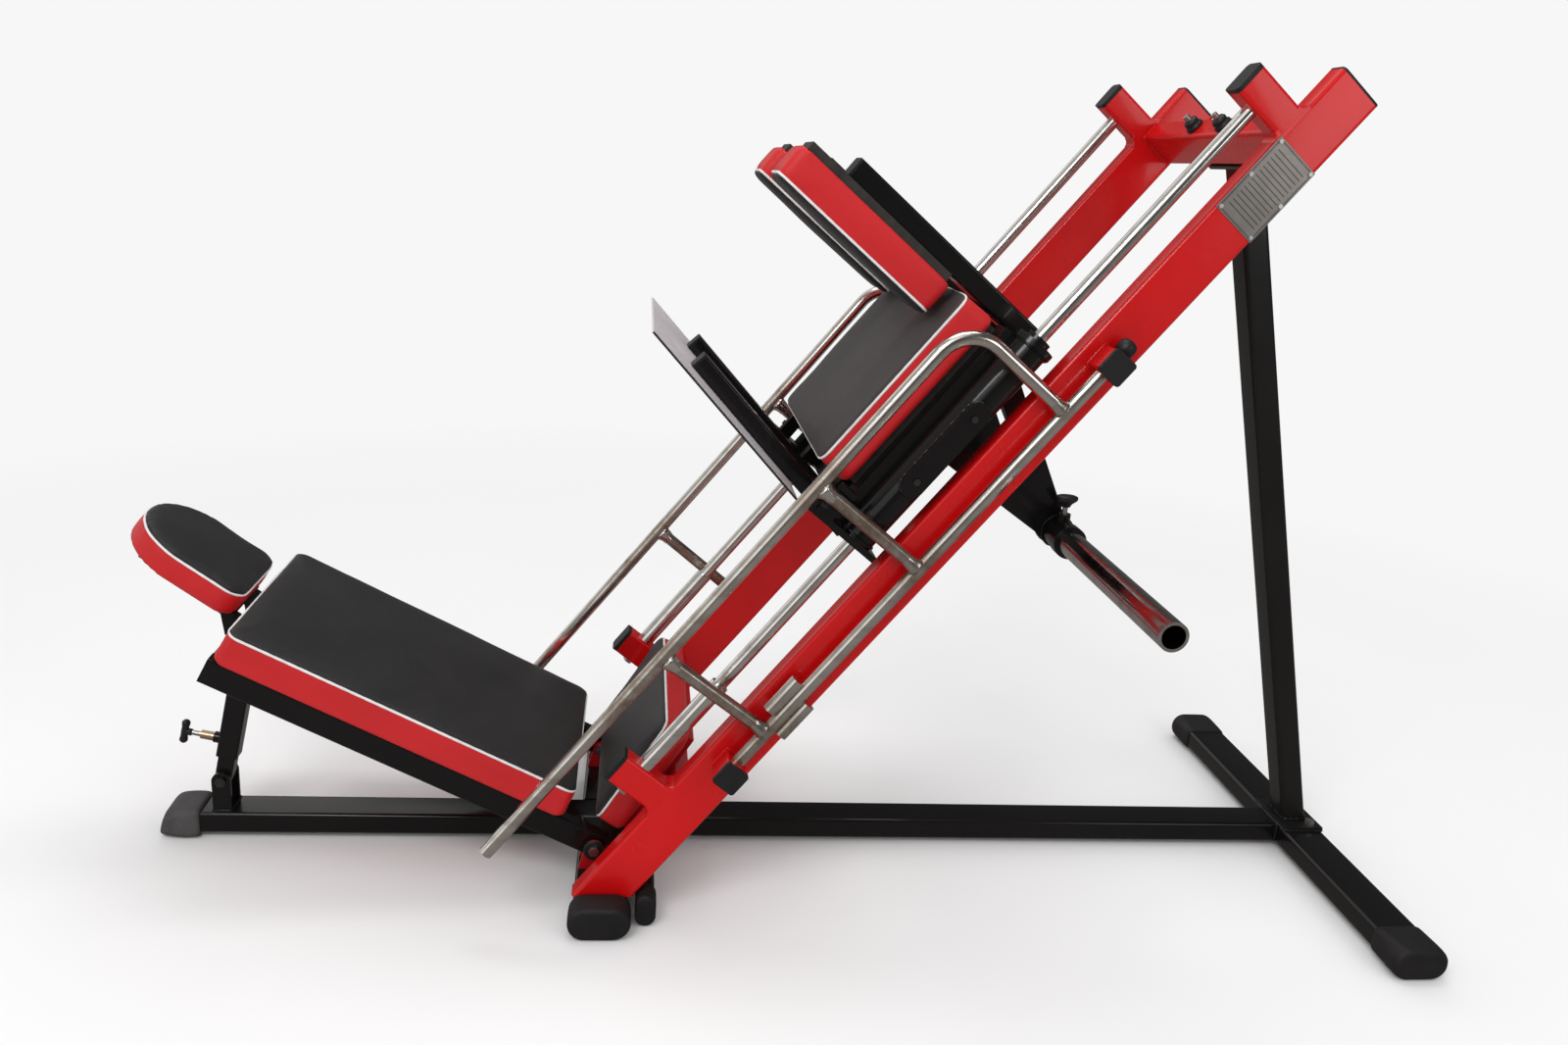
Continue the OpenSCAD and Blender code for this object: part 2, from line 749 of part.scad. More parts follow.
// Wing knob with a round hub
module clamp_knob() {
    on_clamp() difference() {
        translate([0, 0, 55]) {
            cylinder(h = 22, r = 11);
            translate([0, 0, 9]) linear_extrude(14) round_rect(44, 17, 8);
        }
        translate([0, 0, 50]) cylinder(h = 16.4, r = 5);
    }
}

module near_clamp_screw() { color("#a8a8a6") clamp_screw(); }
module far_clamp_screw() { color("#a8a8a6") mirror([0, 1, 0]) clamp_screw(); }
module near_clamp_knob() { color("#1c1c1e") clamp_knob(); }
module far_clamp_knob() { color("#1c1c1e") mirror([0, 1, 0]) clamp_knob(); }

// ---- Lock handles -----------------------------------------------------------------------

// One lock handle: pivot rod, long tube with a bent top, two cross tubes and two short stops
module lock_handle() {
    start = low_bracket_s + 6;
    color("#b9b6ae") on_rails() translate([0, -pivot_y, pivot_n]) {
        translate([start, 0, 0]) rod_x(1392 - start, handle_r);
        rotate([handle_tilt, 0, 0]) difference() {
            union() {
                translate([handle_end_s, 0, handle_reach])
                    rod_x(handle_top_s - bend_r - handle_end_s, handle_r);
                translate([handle_top_s - bend_r, 0, handle_reach - bend_r]) rotate([90, 0, 0])
                    rotate_extrude(angle = 90) translate([bend_r, 0]) circle(handle_r);
                translate([handle_top_s, 0, 0]) cylinder(h = handle_reach - bend_r, r = handle_r);
                for (s = cross_s) translate([s, 0, 0]) cylinder(h = handle_reach, r = handle_r);
                for (n = [-1, 1]) translate([510 + 12 * n, 0, n * 24]) rod_x(75, handle_r);
            }
            translate([handle_end_s - eps, 0, handle_reach]) rod_x(80, handle_r - 2);
        }
    }
}

module handle_cap() {
    color("#1c1c1e") on_rails() translate([top_bracket_s + bracket_w + 4, -pivot_y, pivot_n]) difference() {
        rod_x(24, 16);
        translate([-eps, 0, 0]) rod_x(1392 - top_bracket_s - bracket_w - 4 + eps, handle_r);
    }
}

module near_lock_handle() { lock_handle(); }
module far_lock_handle() { mirror([0, 1, 0]) lock_handle(); }
module near_handle_cap() { handle_cap(); }
module far_handle_cap() { mirror([0, 1, 0]) handle_cap(); }

// ---- Bench ------------------------------------------------------------------------------

// Side tubes, cross tubes and the bracket with the top pin of the strut
module bench_frame() {
    color("#141414") on_bench() {
        difference() {
            union() {
                both() translate([-bench_end_a, -side_y, side_m + side_h / 2])
                    tube_x(bench_end_a + 18, side_w, side_h, 5);
                both() translate([0, -side_y, 0]) rod_y(side_w - 2 * wall, 18);
            }
            both() translate([0, -side_y, 0]) rod_y(side_w + 2, hinge_r + run);
        }
        for (a = [130, 430, bench_end_a - 15]) translate([-a, 0, side_m + side_h / 2])
            tube_y(2 * side_y - side_w, 30, side_h, 5);
        for (y = [-24, 18]) translate([-pin_a - 20, y, pin_m - 12]) cube([40, ear_t, side_m - pin_m + 12]);
        translate([-pin_a, 0, pin_m]) rod_y(48, 6);
    }
}

module bench_pad() {
    color("#252324") on_bench() translate([-pad_a - bench_pad_len / 2, 0, pad_m])
        linear_extrude(bench_pad_t) round_rect(bench_pad_len, bench_pad_w, 26);
}

// Headrest coordinates: -x runs along the headrest, z = 0 is its underside
module on_headrest() {
    on_bench() translate([-head_a, 0, head_m]) rotate([0, headrest_extra, 0]) children();
}

module headrest_plate() {
    bar_w = 30;
    color("#141414") {
        on_headrest() translate([-headrest_len + 45, -75, -6]) cube([headrest_len - 45, 150, 6]);
        difference() {
            for (y = [-45, 75]) on_headrest() translate([0, y, 0]) rotate([90, 0, 0]) linear_extrude(bar_w)
                polygon([[-60, -6], [20, -6], [20, -44], [8, -44], [-20, -14], [-60, -10]]);
            on_bench() translate([-bench_end_a, -trim / 2, -trim / 2]) cube([trim, trim, trim]);
        }
    }
}

module headrest_pad() {
    color("#c01d22") on_headrest() linear_extrude(headrest_t) {
        translate([-headrest_len + headrest_w / 2, 0]) circle(headrest_w / 2);
        translate([-headrest_len + headrest_w / 2, -headrest_w / 2])
            square([headrest_len - headrest_w / 2 - 22, headrest_w]);
        translate([-40, -headrest_w / 2 + 40]) square([40, headrest_w - 80]);
        for (y = [-1, 1]) translate([-40, y * (headrest_w / 2 - 40)]) circle(40);
    }
}

// ---- Strut ------------------------------------------------------------------------------

// Inner square tube, with its lug on the base bolt and the row of height holes
module strut_inner() {
    color("#141414") on_strut() difference() {
        union() {
            rod_y(42, 16);
            tube_z(222, inner_w, inner_w, 4);
        }
        rod_y(44, 6 + run);
        for (i = [0:4]) translate([-inner_w / 2 - eps, 0, pin_h + 26 * i]) rod_x(8, 5 + run);
    }
}

// Outer square tube, with its top tongue and the weld nut of the pull pin
module strut_outer() {
    tube_low = 49;
    tube_top = 250;
    color("#141414") on_strut() difference() {
        union() {
            translate([0, 0, tube_low]) tube_z(tube_top - tube_low, outer_w, outer_w, 5);
            translate([-outer_w / 2, -outer_w / 2, tube_top]) cube([outer_w, outer_w, 5]);
            rotate([90, 0, 0]) linear_extrude(14, center = true) {
                translate([0, strut_len]) circle(14);
                translate([-14, tube_top + 5]) square([28, strut_len - tube_top - 5]);
            }
            translate([-outer_w / 2 - 12, 0, pin_h]) rod_x(12, 11);
        }
        translate([0, 0, strut_len]) rod_y(30, 6 + 4);
        translate([-outer_w / 2 - 14, 0, pin_h]) rod_x(20, 5 + run);
    }
}

module pin_housing() {
    color("#b9a06a") on_strut() translate([-outer_w / 2 - 12 - 25, 0, pin_h]) difference() {
        rod_x(25, 8.5);
        translate([-eps, 0, 0]) rod_x(27, 5 + run);
    }
}

module pull_pin() {
    color("#8e8c86") on_strut() translate([-pull_x, 0, pin_h]) rod_x(pull_x - inner_w / 2 - 0.6, 5);
}

// T-shaped handle on the pull pin
module pull_pin_handle() {
    color("#1c1c1e") on_strut() translate([-pull_x, 0, pin_h]) difference() {
        union() {
            translate([0, 0, -24]) cylinder(h = 48, r = 7);
            rod_x(14, 7);
        }
        rod_x(20, 5);
    }
}

base_rail();
base_end_cap();
front_feet();
front_foot_caps();
rear_foot();
rear_foot_caps();
side_rails();
tube_plugs();
rod_brackets();
guide_rods();
rod_collars();
crossbar();
crossbar_nuts();
upright_post();
frame_bolts();
name_plate();
plate_rivets();
handle_brackets();
handle_bracket_caps();
hinge_ears();
hinge_bolts();
seat_bracket();
seat_pad();
strut_ears();
strut_bolt();
bearing_sleeves();
guide_bushes();
catch_plates();
bush_plates();
bush_screws();
carriage_frame();
back_board();
back_pad();
shoulder_arms();
shoulder_boards();
shoulder_pads();
foot_plate();
foot_plate_arms();
arm_plugs();
horn_hangers();
horn_tube();
near_horn();
far_horn();
near_clamp_screw();
far_clamp_screw();
near_clamp_knob();
far_clamp_knob();
near_lock_handle();
far_lock_handle();
near_handle_cap();
far_handle_cap();
bench_frame();
bench_pad();
headrest_plate();
headrest_pad();
strut_inner();
strut_outer();
pin_housing();
pull_pin();
pull_pin_handle();
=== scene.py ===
"""Looks of the leg press and hack squat machine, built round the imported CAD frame. Metres, +Z up."""
import math
import random

import bmesh
import bpy
from mathutils import Matrix, Vector, noise
from mathutils.bvhtree import BVHTree


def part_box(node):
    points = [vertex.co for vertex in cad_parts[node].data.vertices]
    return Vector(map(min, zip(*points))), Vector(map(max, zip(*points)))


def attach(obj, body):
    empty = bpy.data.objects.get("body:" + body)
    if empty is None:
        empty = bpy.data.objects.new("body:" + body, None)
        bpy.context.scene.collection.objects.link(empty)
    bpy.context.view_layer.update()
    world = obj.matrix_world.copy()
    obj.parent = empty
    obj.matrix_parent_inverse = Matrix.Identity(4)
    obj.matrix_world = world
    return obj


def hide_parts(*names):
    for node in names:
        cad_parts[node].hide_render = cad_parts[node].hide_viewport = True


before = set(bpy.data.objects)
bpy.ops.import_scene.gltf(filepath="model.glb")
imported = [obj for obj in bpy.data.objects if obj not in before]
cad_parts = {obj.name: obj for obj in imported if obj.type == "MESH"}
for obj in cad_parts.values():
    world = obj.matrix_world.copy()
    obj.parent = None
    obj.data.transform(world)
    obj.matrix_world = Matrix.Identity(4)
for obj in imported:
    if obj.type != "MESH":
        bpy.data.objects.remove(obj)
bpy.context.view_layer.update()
rng = random.Random(11)

# ---- Frames of the machine ---------------------------------------------------------------------
low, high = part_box("rear_foot")
REAR_X = 1.515
SHIFT = (low.x + high.x) / 2 - REAR_X
RAIL = math.radians(52.5)
ALONG, ACROSS = (math.cos(RAIL), 0, math.sin(RAIL)), (-math.sin(RAIL), 0, math.cos(RAIL))
M_MACHINE = Matrix.Translation((SHIFT, 0, 0))
M_RAIL = M_MACHINE @ Matrix.Rotation(-RAIL, 4, "Y")
HINGE_X, HINGE_Z = -0.035, 0.097
BENCH_TILT, HEAD_TILT, STRUT_TILT = math.radians(26.5), math.radians(9), math.radians(11.4512)
M_BENCH = M_MACHINE @ Matrix.Translation((HINGE_X, 0, HINGE_Z)) @ Matrix.Rotation(BENCH_TILT, 4, "Y")
M_HEAD = M_BENCH @ Matrix.Translation((-0.786, 0, 0.054)) @ Matrix.Rotation(HEAD_TILT, 4, "Y")
M_STRUT = M_MACHINE @ Matrix.Translation((-0.775, 0, 0.120)) @ Matrix.Rotation(STRUT_TILT, 4, "Y")
SMALL_X, FRONT_X = 0.066, -0.018
HANDLE_Y, HANDLE_N, HANDLE_LEAN = 0.342, 0.044, math.radians(4)
HANDLE_REACH = 0.238
HORN_S, HORN_N, CLAMP_Y = 1.089, -0.182, 0.188
ROD_Y, ROD_N, SLEEVE_R = 0.292, 0.150, 0.0325
SIDES = ((-1, "near"), (1, "far"))

# ---- Material building blocks ------------------------------------------------------------------


class Mat:
    """A Principled material with short calls for the nodes it needs."""

    def __init__(self, name):
        self.m = bpy.data.materials.new(name)
        self.m.use_nodes = True
        self.nt = self.m.node_tree
        self.nt.nodes.clear()
        out = self.nt.nodes.new("ShaderNodeOutputMaterial")
        self.b = self.nt.nodes.new("ShaderNodeBsdfPrincipled")
        self.nt.links.new(self.b.outputs[0], out.inputs[0])
        self.co = self.nt.nodes.new("ShaderNodeTexCoord").outputs["Object"]

    def put(self, sock, v):
        if isinstance(v, bpy.types.NodeSocket):
            self.nt.links.new(v, sock)
        else:
            sock.default_value = v

    def node(self, kind, out=0, props=None, **ins):
        n = self.nt.nodes.new("ShaderNode" + kind)
        for k, v in (props or {}).items():
            setattr(n, k, v)
        for k, v in ins.items():
            key = int(k[1:]) if k[0] == "i" and k[1:].isdigit() else k.replace("_", " ")
            self.put(n.inputs[key], v)
        return n.outputs[out]

    def noise(self, scale, detail=3.0, rough=0.55, co=None, distort=0.0):
        return self.node("TexNoise", Vector=co or self.co, Scale=scale, Detail=detail, Roughness=rough,
                         Distortion=distort)

    def stretch(self, x, y, z, turn=0.0):
        return self.node("Mapping", Vector=self.co, Scale=(x, y, z), Rotation=(0, turn, 0))

    def ramp(self, fac, *stops):
        n = self.nt.nodes.new("ShaderNodeValToRGB")
        self.put(n.inputs[0], fac)
        e = n.color_ramp.elements
        while len(e) < len(stops):
            e.new(0.5)
        for el, (p, c) in zip(e, stops):
            el.position = p
            el.color = (c[0], c[1], c[2], 1) if isinstance(c, (tuple, list)) else (c, c, c, 1)
        return n.outputs[0]

    def math(self, op, a, b=0.0, c=0.0, clamp=False):
        return self.node("Math", props={"operation": op, "use_clamp": clamp}, i0=a, i1=b, i2=c)

    def mix(self, fac, a, b):
        n = self.nt.nodes.new("ShaderNodeMix")
        n.data_type = "RGBA"
        a, b = [(*v, 1) if isinstance(v, tuple) and len(v) == 3 else v for v in (a, b)]
        self.put(n.inputs[0], fac)
        self.put(n.inputs[6], a)
        self.put(n.inputs[7], b)
        return n.outputs[2]

    def bump(self, height, strength, dist=0.001, normal=None):
        n = self.nt.nodes.new("ShaderNodeBump")
        n.inputs["Strength"].default_value = strength
        n.inputs["Distance"].default_value = dist
        self.nt.links.new(height, n.inputs["Height"])
        if normal is not None:
            self.nt.links.new(normal, n.inputs["Normal"])
        return n.outputs[0]

    def edge(self, radius):
        return self.node("Bevel", props={"samples": 6}, Radius=radius)

    def set(self, **ins):
        for k, v in ins.items():
            if isinstance(v, tuple) and len(v) == 3:
                v = (*v, 1)
            self.put(self.b.inputs[k.replace("_", " ")], v)
        return self.m


def paint(name, light, dark, rough=0.24, coat=0.7, edge=0.0014, spec=0.5):
    """Gloss powder coat: faint mottling, orange peel, dust nibs and a rounded edge."""
    m = Mat(name)
    tone = m.ramp(m.noise(2.6, 4, 0.6), (0.3, dark), (0.72, light))
    nib = m.ramp(m.noise(420, 2), (0.74, 0.0), (0.8, 1.0))
    col = m.mix(m.math("MULTIPLY", nib, 0.35), tone, tuple(min(1, c * 1.6 + 0.02) for c in light))
    smear = m.noise(9, 5, 0.65)
    peel = m.math("ADD", m.noise(75, 3), m.math("MULTIPLY", nib, 1.5))
    return m.set(Base_Color=col, Roughness=m.math("MULTIPLY_ADD", smear, 0.16, rough - 0.06),
                 Coat_Weight=coat, Coat_Roughness=0.08, Specular_IOR_Level=spec,
                 Normal=m.bump(peel, 0.16, 0.0008, m.edge(edge)))


def bright(name, base, tarnish_and_reflection, rough=0.13, tint=(), amount=0.5, turn=RAIL):
    """Chromed tube: long polishing streaks, brown patches along the streaks that are partly tarnish and
    partly painted dark reflection, and brown bands beside the welds.
    """
    m = Mat(name)
    # Brown patches along the streaks: partly tarnish, partly a painted dark reflection of the surroundings.
    streak = m.noise(1.0, 2, 0.5, m.stretch(1.6, 70, 70, turn))
    patch = m.ramp(m.noise(1.0, 3, 0.5, m.stretch(3, 40, 40, turn)), (0.45, 0.0), (0.75, 1.0))
    fac = m.math("MULTIPLY", m.math("MULTIPLY", patch, streak), amount, clamp=True)
    if tint:
        along = m.node("VectorMath", out=1, props={"operation": "DOT_PRODUCT"}, i0=m.co, i1=ALONG)
        for s in tint:
            near = m.math("DIVIDE", m.math("SUBTRACT", along, s), 0.075)
            bell = m.math("POWER", 2.718, m.math("MULTIPLY", m.math("MULTIPLY", near, near), -1.0))
            # A noisy brown band on either side of each place given in tint.
            weld_band = m.math("MULTIPLY", bell, m.ramp(m.noise(34, 4, 0.7), (0.3, 0.25), (0.62, 1.0)))
            fac = m.math("MAXIMUM", fac, m.math("MULTIPLY", weld_band, 0.85))
    pit = m.ramp(m.noise(180, 2, 0.5), (0.72, 0.0), (0.80, 1.0))
    base_rough = m.math("MULTIPLY_ADD", streak, 0.1, rough - 0.05)
    return m.set(Base_Color=m.mix(fac, base, tarnish_and_reflection), Metallic=1.0,
                 Roughness=m.math("MULTIPLY_ADD", m.math("MAXIMUM", fac, pit), 0.3, base_rough),
                 Normal=m.bump(m.math("ADD", patch, pit), 0.02, 0.0003))


def moulded(name, light, dark, rough=0.55, scale=300, strength=0.3, edge=0.0015, spec=0.4):
    """Moulded plastic or rubber with a fine spark texture, scuffs and dusty patches."""
    m = Mat(name)
    dust = m.ramp(m.noise(13, 6, 0.7), (0.35, dark), (0.8, light))
    scuff = m.noise(1.0, 3, 0.7, m.stretch(30, 30, 220))
    col = m.mix(m.ramp(scuff, (0.66, 0.0), (0.78, 0.4)), dust, tuple(min(1, c * 1.9 + 0.012) for c in light))
    return m.set(Base_Color=col, Roughness=m.math("MULTIPLY_ADD", scuff, 0.25, rough - 0.12),
                 Specular_IOR_Level=spec,
                 Normal=m.bump(m.noise(scale, 3, 0.6), strength, 0.0007, m.edge(edge)))


def vinyl_colours(m, base):
    """Grain, pores and drag marks that both vinyl colours share; returns colour, roughness and height."""
    cell = m.node("TexVoronoi", out=0, props={"feature": "DISTANCE_TO_EDGE"}, Vector=m.co, Scale=620.0)
    cell = m.ramp(cell, (0.0, 0.0), (0.16, 1.0))
    drag = m.noise(5.5, 5, 0.62, distort=0.6)
    rough = m.math("MULTIPLY_ADD", drag, 0.22, 0.33)
    pores = m.math("MULTIPLY", cell, 0.35)
    height = m.math("ADD", pores, m.math("MULTIPLY", m.noise(26, 3, 0.6, distort=0.8), 0.9))
    tone = m.mix(m.ramp(drag, (0.3, 0.0), (0.75, 1.0)), tuple(c * 0.82 for c in base),
                 tuple(c * 1.14 for c in base))
    return tone, rough, height


def vinyl(name, seam, face=(0.030, 0.0265, 0.027), side=(0.54, 0.0095, 0.0125)):
    """Pad cover: black face above the seam height and red sides below it, in the pad's own coordinates."""
    m = Mat(name)
    z = m.node("SeparateXYZ", out=2, Vector=m.co)
    top = m.math("GREATER_THAN", z, seam)
    tone_f, rough, height = vinyl_colours(m, face)
    tone_s = m.mix(m.ramp(m.noise(4, 4), (0.3, 0.0), (0.8, 1.0)), tuple(c * 0.84 for c in side), side)
    pull = m.noise(1.0, 3, 0.6, m.stretch(16, 16, 90))
    height = m.math("ADD", height, m.math("MULTIPLY", pull, 0.25))
    return m.set(Base_Color=m.mix(top, tone_s, tone_f), Roughness=rough, Specular_IOR_Level=0.3,
                 Sheen_Weight=0.03, Normal=m.bump(height, 0.28, 0.0011))


RED = paint("red_gloss", (0.56, 0.0035, 0.0045), (0.42, 0.0022, 0.003), rough=0.24, coat=0.25, spec=0.25)
EAR_RED = paint("red_gloss_shadow", (0.45, 0.005, 0.01), (0.34, 0.004, 0.007), rough=0.32, coat=0.25,
                spec=0.3)
BLACK = paint("black_gloss", (0.0062, 0.0056, 0.0056), (0.0035, 0.0033, 0.0033), rough=0.22, coat=0.25,
              spec=0.22)
POST = paint("black_post", (0.0085, 0.0078, 0.0074), (0.0055, 0.0052, 0.005), rough=0.3, coat=0.15, spec=0.22)
ROD = bright("guide_chrome", (0.80, 0.78, 0.755), (0.30, 0.22, 0.16), rough=0.13, amount=0.8)
TUBE = bright("handle_chrome", (0.76, 0.725, 0.68), (0.26, 0.175, 0.11), rough=0.15, amount=1.0,
              tint=[s + SHIFT * math.cos(RAIL) for s in (0.487, 0.883, 0.39)])
HORN = bright("horn_chrome", (0.56, 0.54, 0.53), (0.16, 0.12, 0.11), rough=0.12, amount=0.8, turn=0.0)
ZINC = bright("zinc_steel", (0.55, 0.54, 0.52), (0.3, 0.27, 0.22), rough=0.3, amount=0.6)
DARK_STEEL = bright("dark_steel", (0.12, 0.115, 0.11), (0.06, 0.05, 0.045), rough=0.3, amount=0.6)
BRASS = bright("tarnished_brass", (0.62, 0.46, 0.30), (0.40, 0.26, 0.16), rough=0.34, amount=0.7)
PLASTIC = moulded("black_plastic", (0.013, 0.0133, 0.014), (0.007, 0.007, 0.0076), rough=0.45, scale=340,
                  strength=0.22)
RUBBER = moulded("black_rubber", (0.0115, 0.0095, 0.010), (0.0058, 0.005, 0.0055), rough=0.62, scale=240,
                 strength=0.4)
GREY_RUBBER = moulded("grey_rubber", (0.085, 0.078, 0.079), (0.042, 0.038, 0.04), rough=0.66, scale=200,
                      strength=0.45)
NYLON = moulded("turned_nylon", (0.62, 0.6, 0.54), (0.5, 0.47, 0.41), rough=0.5, scale=160, strength=0.15)
PIPING = moulded("white_piping", (0.78, 0.76, 0.75), (0.62, 0.6, 0.6), rough=0.5, scale=500, strength=0.2)


def board_material():
    m = Mat("stained_board")
    grain = m.noise(1.0, 5, 0.7, m.stretch(40, 4, 40))
    col = m.ramp(grain, (0.3, (0.012, 0.010, 0.009)), (0.75, (0.034, 0.027, 0.022)))
    return m.set(Base_Color=col, Roughness=0.7, Normal=m.bump(grain, 0.4, 0.001, m.edge(0.001)))


def sheet_material():
    """Light grey coated sheet of the foot plate with scuffs from shoes and a dark cut edge."""
    m = Mat("foot_sheet")
    cloud = m.noise(6, 5, 0.68, distort=0.5)
    rub = m.ramp(m.noise(1.0, 4, 0.7, m.stretch(14, 60, 14)), (0.55, 0.0), (0.74, 1.0))
    col = m.ramp(cloud, (0.32, (0.60, 0.55, 0.565)), (0.7, (0.72, 0.67, 0.69)))
    col = m.mix(m.math("MULTIPLY", rub, 0.35), col, (0.76, 0.73, 0.74))
    facing = m.nt.nodes.new("ShaderNodeTexCoord").outputs["Normal"]
    side = m.math("ABSOLUTE", m.node("SeparateXYZ", out=1, Vector=facing))
    col = m.mix(m.math("GREATER_THAN", side, 0.7), col, (0.02, 0.018, 0.018))
    return m.set(Base_Color=col, Metallic=0.2, Roughness=m.math("MULTIPLY_ADD", cloud, 0.25, 0.36),
                 Normal=m.bump(m.math("ADD", cloud, rub), 0.12, 0.0008, m.edge(0.0008)))


def plate_material():
    """Brushed plate with an etched double border and plain etched rules, no lettering."""
    m = Mat("blank_plate")
    local = m.node("Mapping", props={"vector_type": "POINT"}, Vector=m.co, Location=(-SHIFT, 0, 0))
    s = m.node("VectorMath", out=1, props={"operation": "DOT_PRODUCT"}, i0=local, i1=ALONG)
    n = m.node("VectorMath", out=1, props={"operation": "DOT_PRODUCT"}, i0=local, i1=ACROSS)
    a = m.math("SUBTRACT", 0.0735, m.math("ABSOLUTE", m.math("SUBTRACT", s, 1.7235)))
    c = m.math("SUBTRACT", 0.0442, m.math("ABSOLUTE", m.math("SUBTRACT", n, 0.045)))
    rim = m.math("MINIMUM", a, c)
    line = 0.0
    for at, w in ((0.0030, 0.0004), (0.0046, 0.0003)):
        hit = m.math("LESS_THAN", m.math("ABSOLUTE", m.math("SUBTRACT", rim, at)), w)
        line = m.math("MAXIMUM", line, hit)
    wave = m.math("FRACT", m.math("DIVIDE", m.math("SUBTRACT", s, 1.66), 0.0085))
    rule = m.math("MULTIPLY", m.math("LESS_THAN", wave, 0.2), m.math("GREATER_THAN", rim, 0.012))
    line = m.math("MAXIMUM", line, m.math("MULTIPLY", rule, 0.75))
    brush = m.noise(1.0, 4, 0.7, m.stretch(3, 3, 400, RAIL))
    grime = m.ramp(m.noise(30, 5, 0.7), (0.4, 0.0), (0.8, 1.0))
    col = m.mix(m.math("MULTIPLY", grime, 0.4), (0.25, 0.235, 0.22), (0.12, 0.105, 0.09))
    col = m.mix(line, col, (0.02, 0.018, 0.016))
    return m.set(Base_Color=col, Metallic=0.9, Roughness=m.math("MULTIPLY_ADD", brush, 0.2, 0.22),
                 Normal=m.bump(m.math("SUBTRACT", brush, line), 0.2, 0.0005, m.edge(0.0005)))


BOARD, SHEET, PLATE = board_material(), sheet_material(), plate_material()

FINISH = {
    RED: "side_rails rod_brackets crossbar handle_brackets",
    EAR_RED: "hinge_ears seat_bracket",
    BLACK: "base_rail front_feet rear_foot strut_ears bearing_sleeves catch_plates bush_plates "
           "carriage_frame shoulder_arms foot_plate_arms horn_hangers horn_tube bench_frame "
           "headrest_plate strut_inner strut_outer",
    POST: "upright_post",
    ROD: "guide_rods rod_collars",
    HORN: "near_horn far_horn",
    TUBE: "near_lock_handle far_lock_handle",
    ZINC: "frame_bolts hinge_bolts near_clamp_screw far_clamp_screw plate_rivets pull_pin",
    DARK_STEEL: "bush_screws strut_bolt",
    BRASS: "pin_housing",
    PLASTIC: "tube_plugs handle_bracket_caps arm_plugs near_handle_cap far_handle_cap "
             "near_clamp_knob far_clamp_knob pull_pin_handle crossbar_nuts",
    NYLON: "guide_bushes",
    BOARD: "back_board shoulder_boards",
    SHEET: "foot_plate",
    PLATE: "name_plate",
}
for finish, names in FINISH.items():
    for node_name in names.split():
        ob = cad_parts[node_name]
        ob.data.materials.clear()
        ob.data.materials.append(finish)
        ob.data.polygons.foreach_set("use_smooth", [True] * len(ob.data.polygons))
        weld = ob.modifiers.new("weld", "WELD")
        weld.merge_threshold = 2e-5
        ob.modifiers.new("split", "EDGE_SPLIT").split_angle = math.radians(32)

# ---- Mesh helpers ------------------------------------------------------------------------------


def link(name, mesh, mat, M=None, smooth=True):
    ob = bpy.data.objects.new(name, mesh)
    bpy.context.scene.collection.objects.link(ob)
    if M is not None:
        ob.matrix_world = M
    if mat is not None:
        mesh.materials.append(mat)
    if smooth and isinstance(mesh, bpy.types.Mesh):
        mesh.polygons.foreach_set("use_smooth", [True] * len(mesh.polygons))
    return ob


def settle(ob, body, replaces=()):
    """Rides a piece on its body and hides the CAD nodes that it stands for."""
    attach(ob, body)
    if replaces:
        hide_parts(*replaces)
    return ob


def skin(bm, name):
    """The bmesh as a new mesh with its faces turned outwards."""
    bmesh.ops.recalc_face_normals(bm, faces=bm.faces)
    me = bpy.data.meshes.new(name)
    bm.to_mesh(me)
    bm.free()
    return me


def closed(bm, rows, name):
    """A mesh with side faces between closed rows of vertices, and a cap on the first and last row."""
    for a, b in zip(rows, rows[1:]):
        for k in range(len(a)):
            j = (k + 1) % len(a)
            bm.faces.new((a[k], a[j], b[j], b[k]))
    bm.faces.new(rows[0])
    bm.faces.new(rows[-1])
    return skin(bm, name)


def rounded(w, h, r, n=8):
    """Points round a rectangle w by h with corner radius r, counter-clockwise and centred."""
    pts = []
    for i, (cx, cy) in enumerate(((1, 1), (-1, 1), (-1, -1), (1, -1))):
        for k in range(n + 1):
            a = math.pi / 2 * (i + k / n)
            pts.append(Vector((cx * (w / 2 - r) + r * math.cos(a), cy * (h / 2 - r) + r * math.sin(a))))
    return pts


def even(pts, step):
    """The same closed outline with points at an even spacing."""
    total = sum((pts[i] - pts[i - 1]).length for i in range(len(pts)))
    count = max(8, round(total / step))
    out, i, walked, edge_len = [], 0, 0.0, (pts[1] - pts[0]).length
    for k in range(count):
        at = total * k / count
        while walked + edge_len < at and i < len(pts) - 1:
            walked += edge_len
            i += 1
            edge_len = (pts[(i + 1) % len(pts)] - pts[i]).length
        out.append(pts[i].lerp(pts[(i + 1) % len(pts)], (at - walked) / max(edge_len, 1e-9)))
    return out


def inset(pts, d):
    out = []
    for i, p in enumerate(pts):
        t = (pts[(i + 1) % len(pts)] - pts[i - 1]).normalized()
        out.append(p - Vector((t.y, -t.x)) * d)
    return out


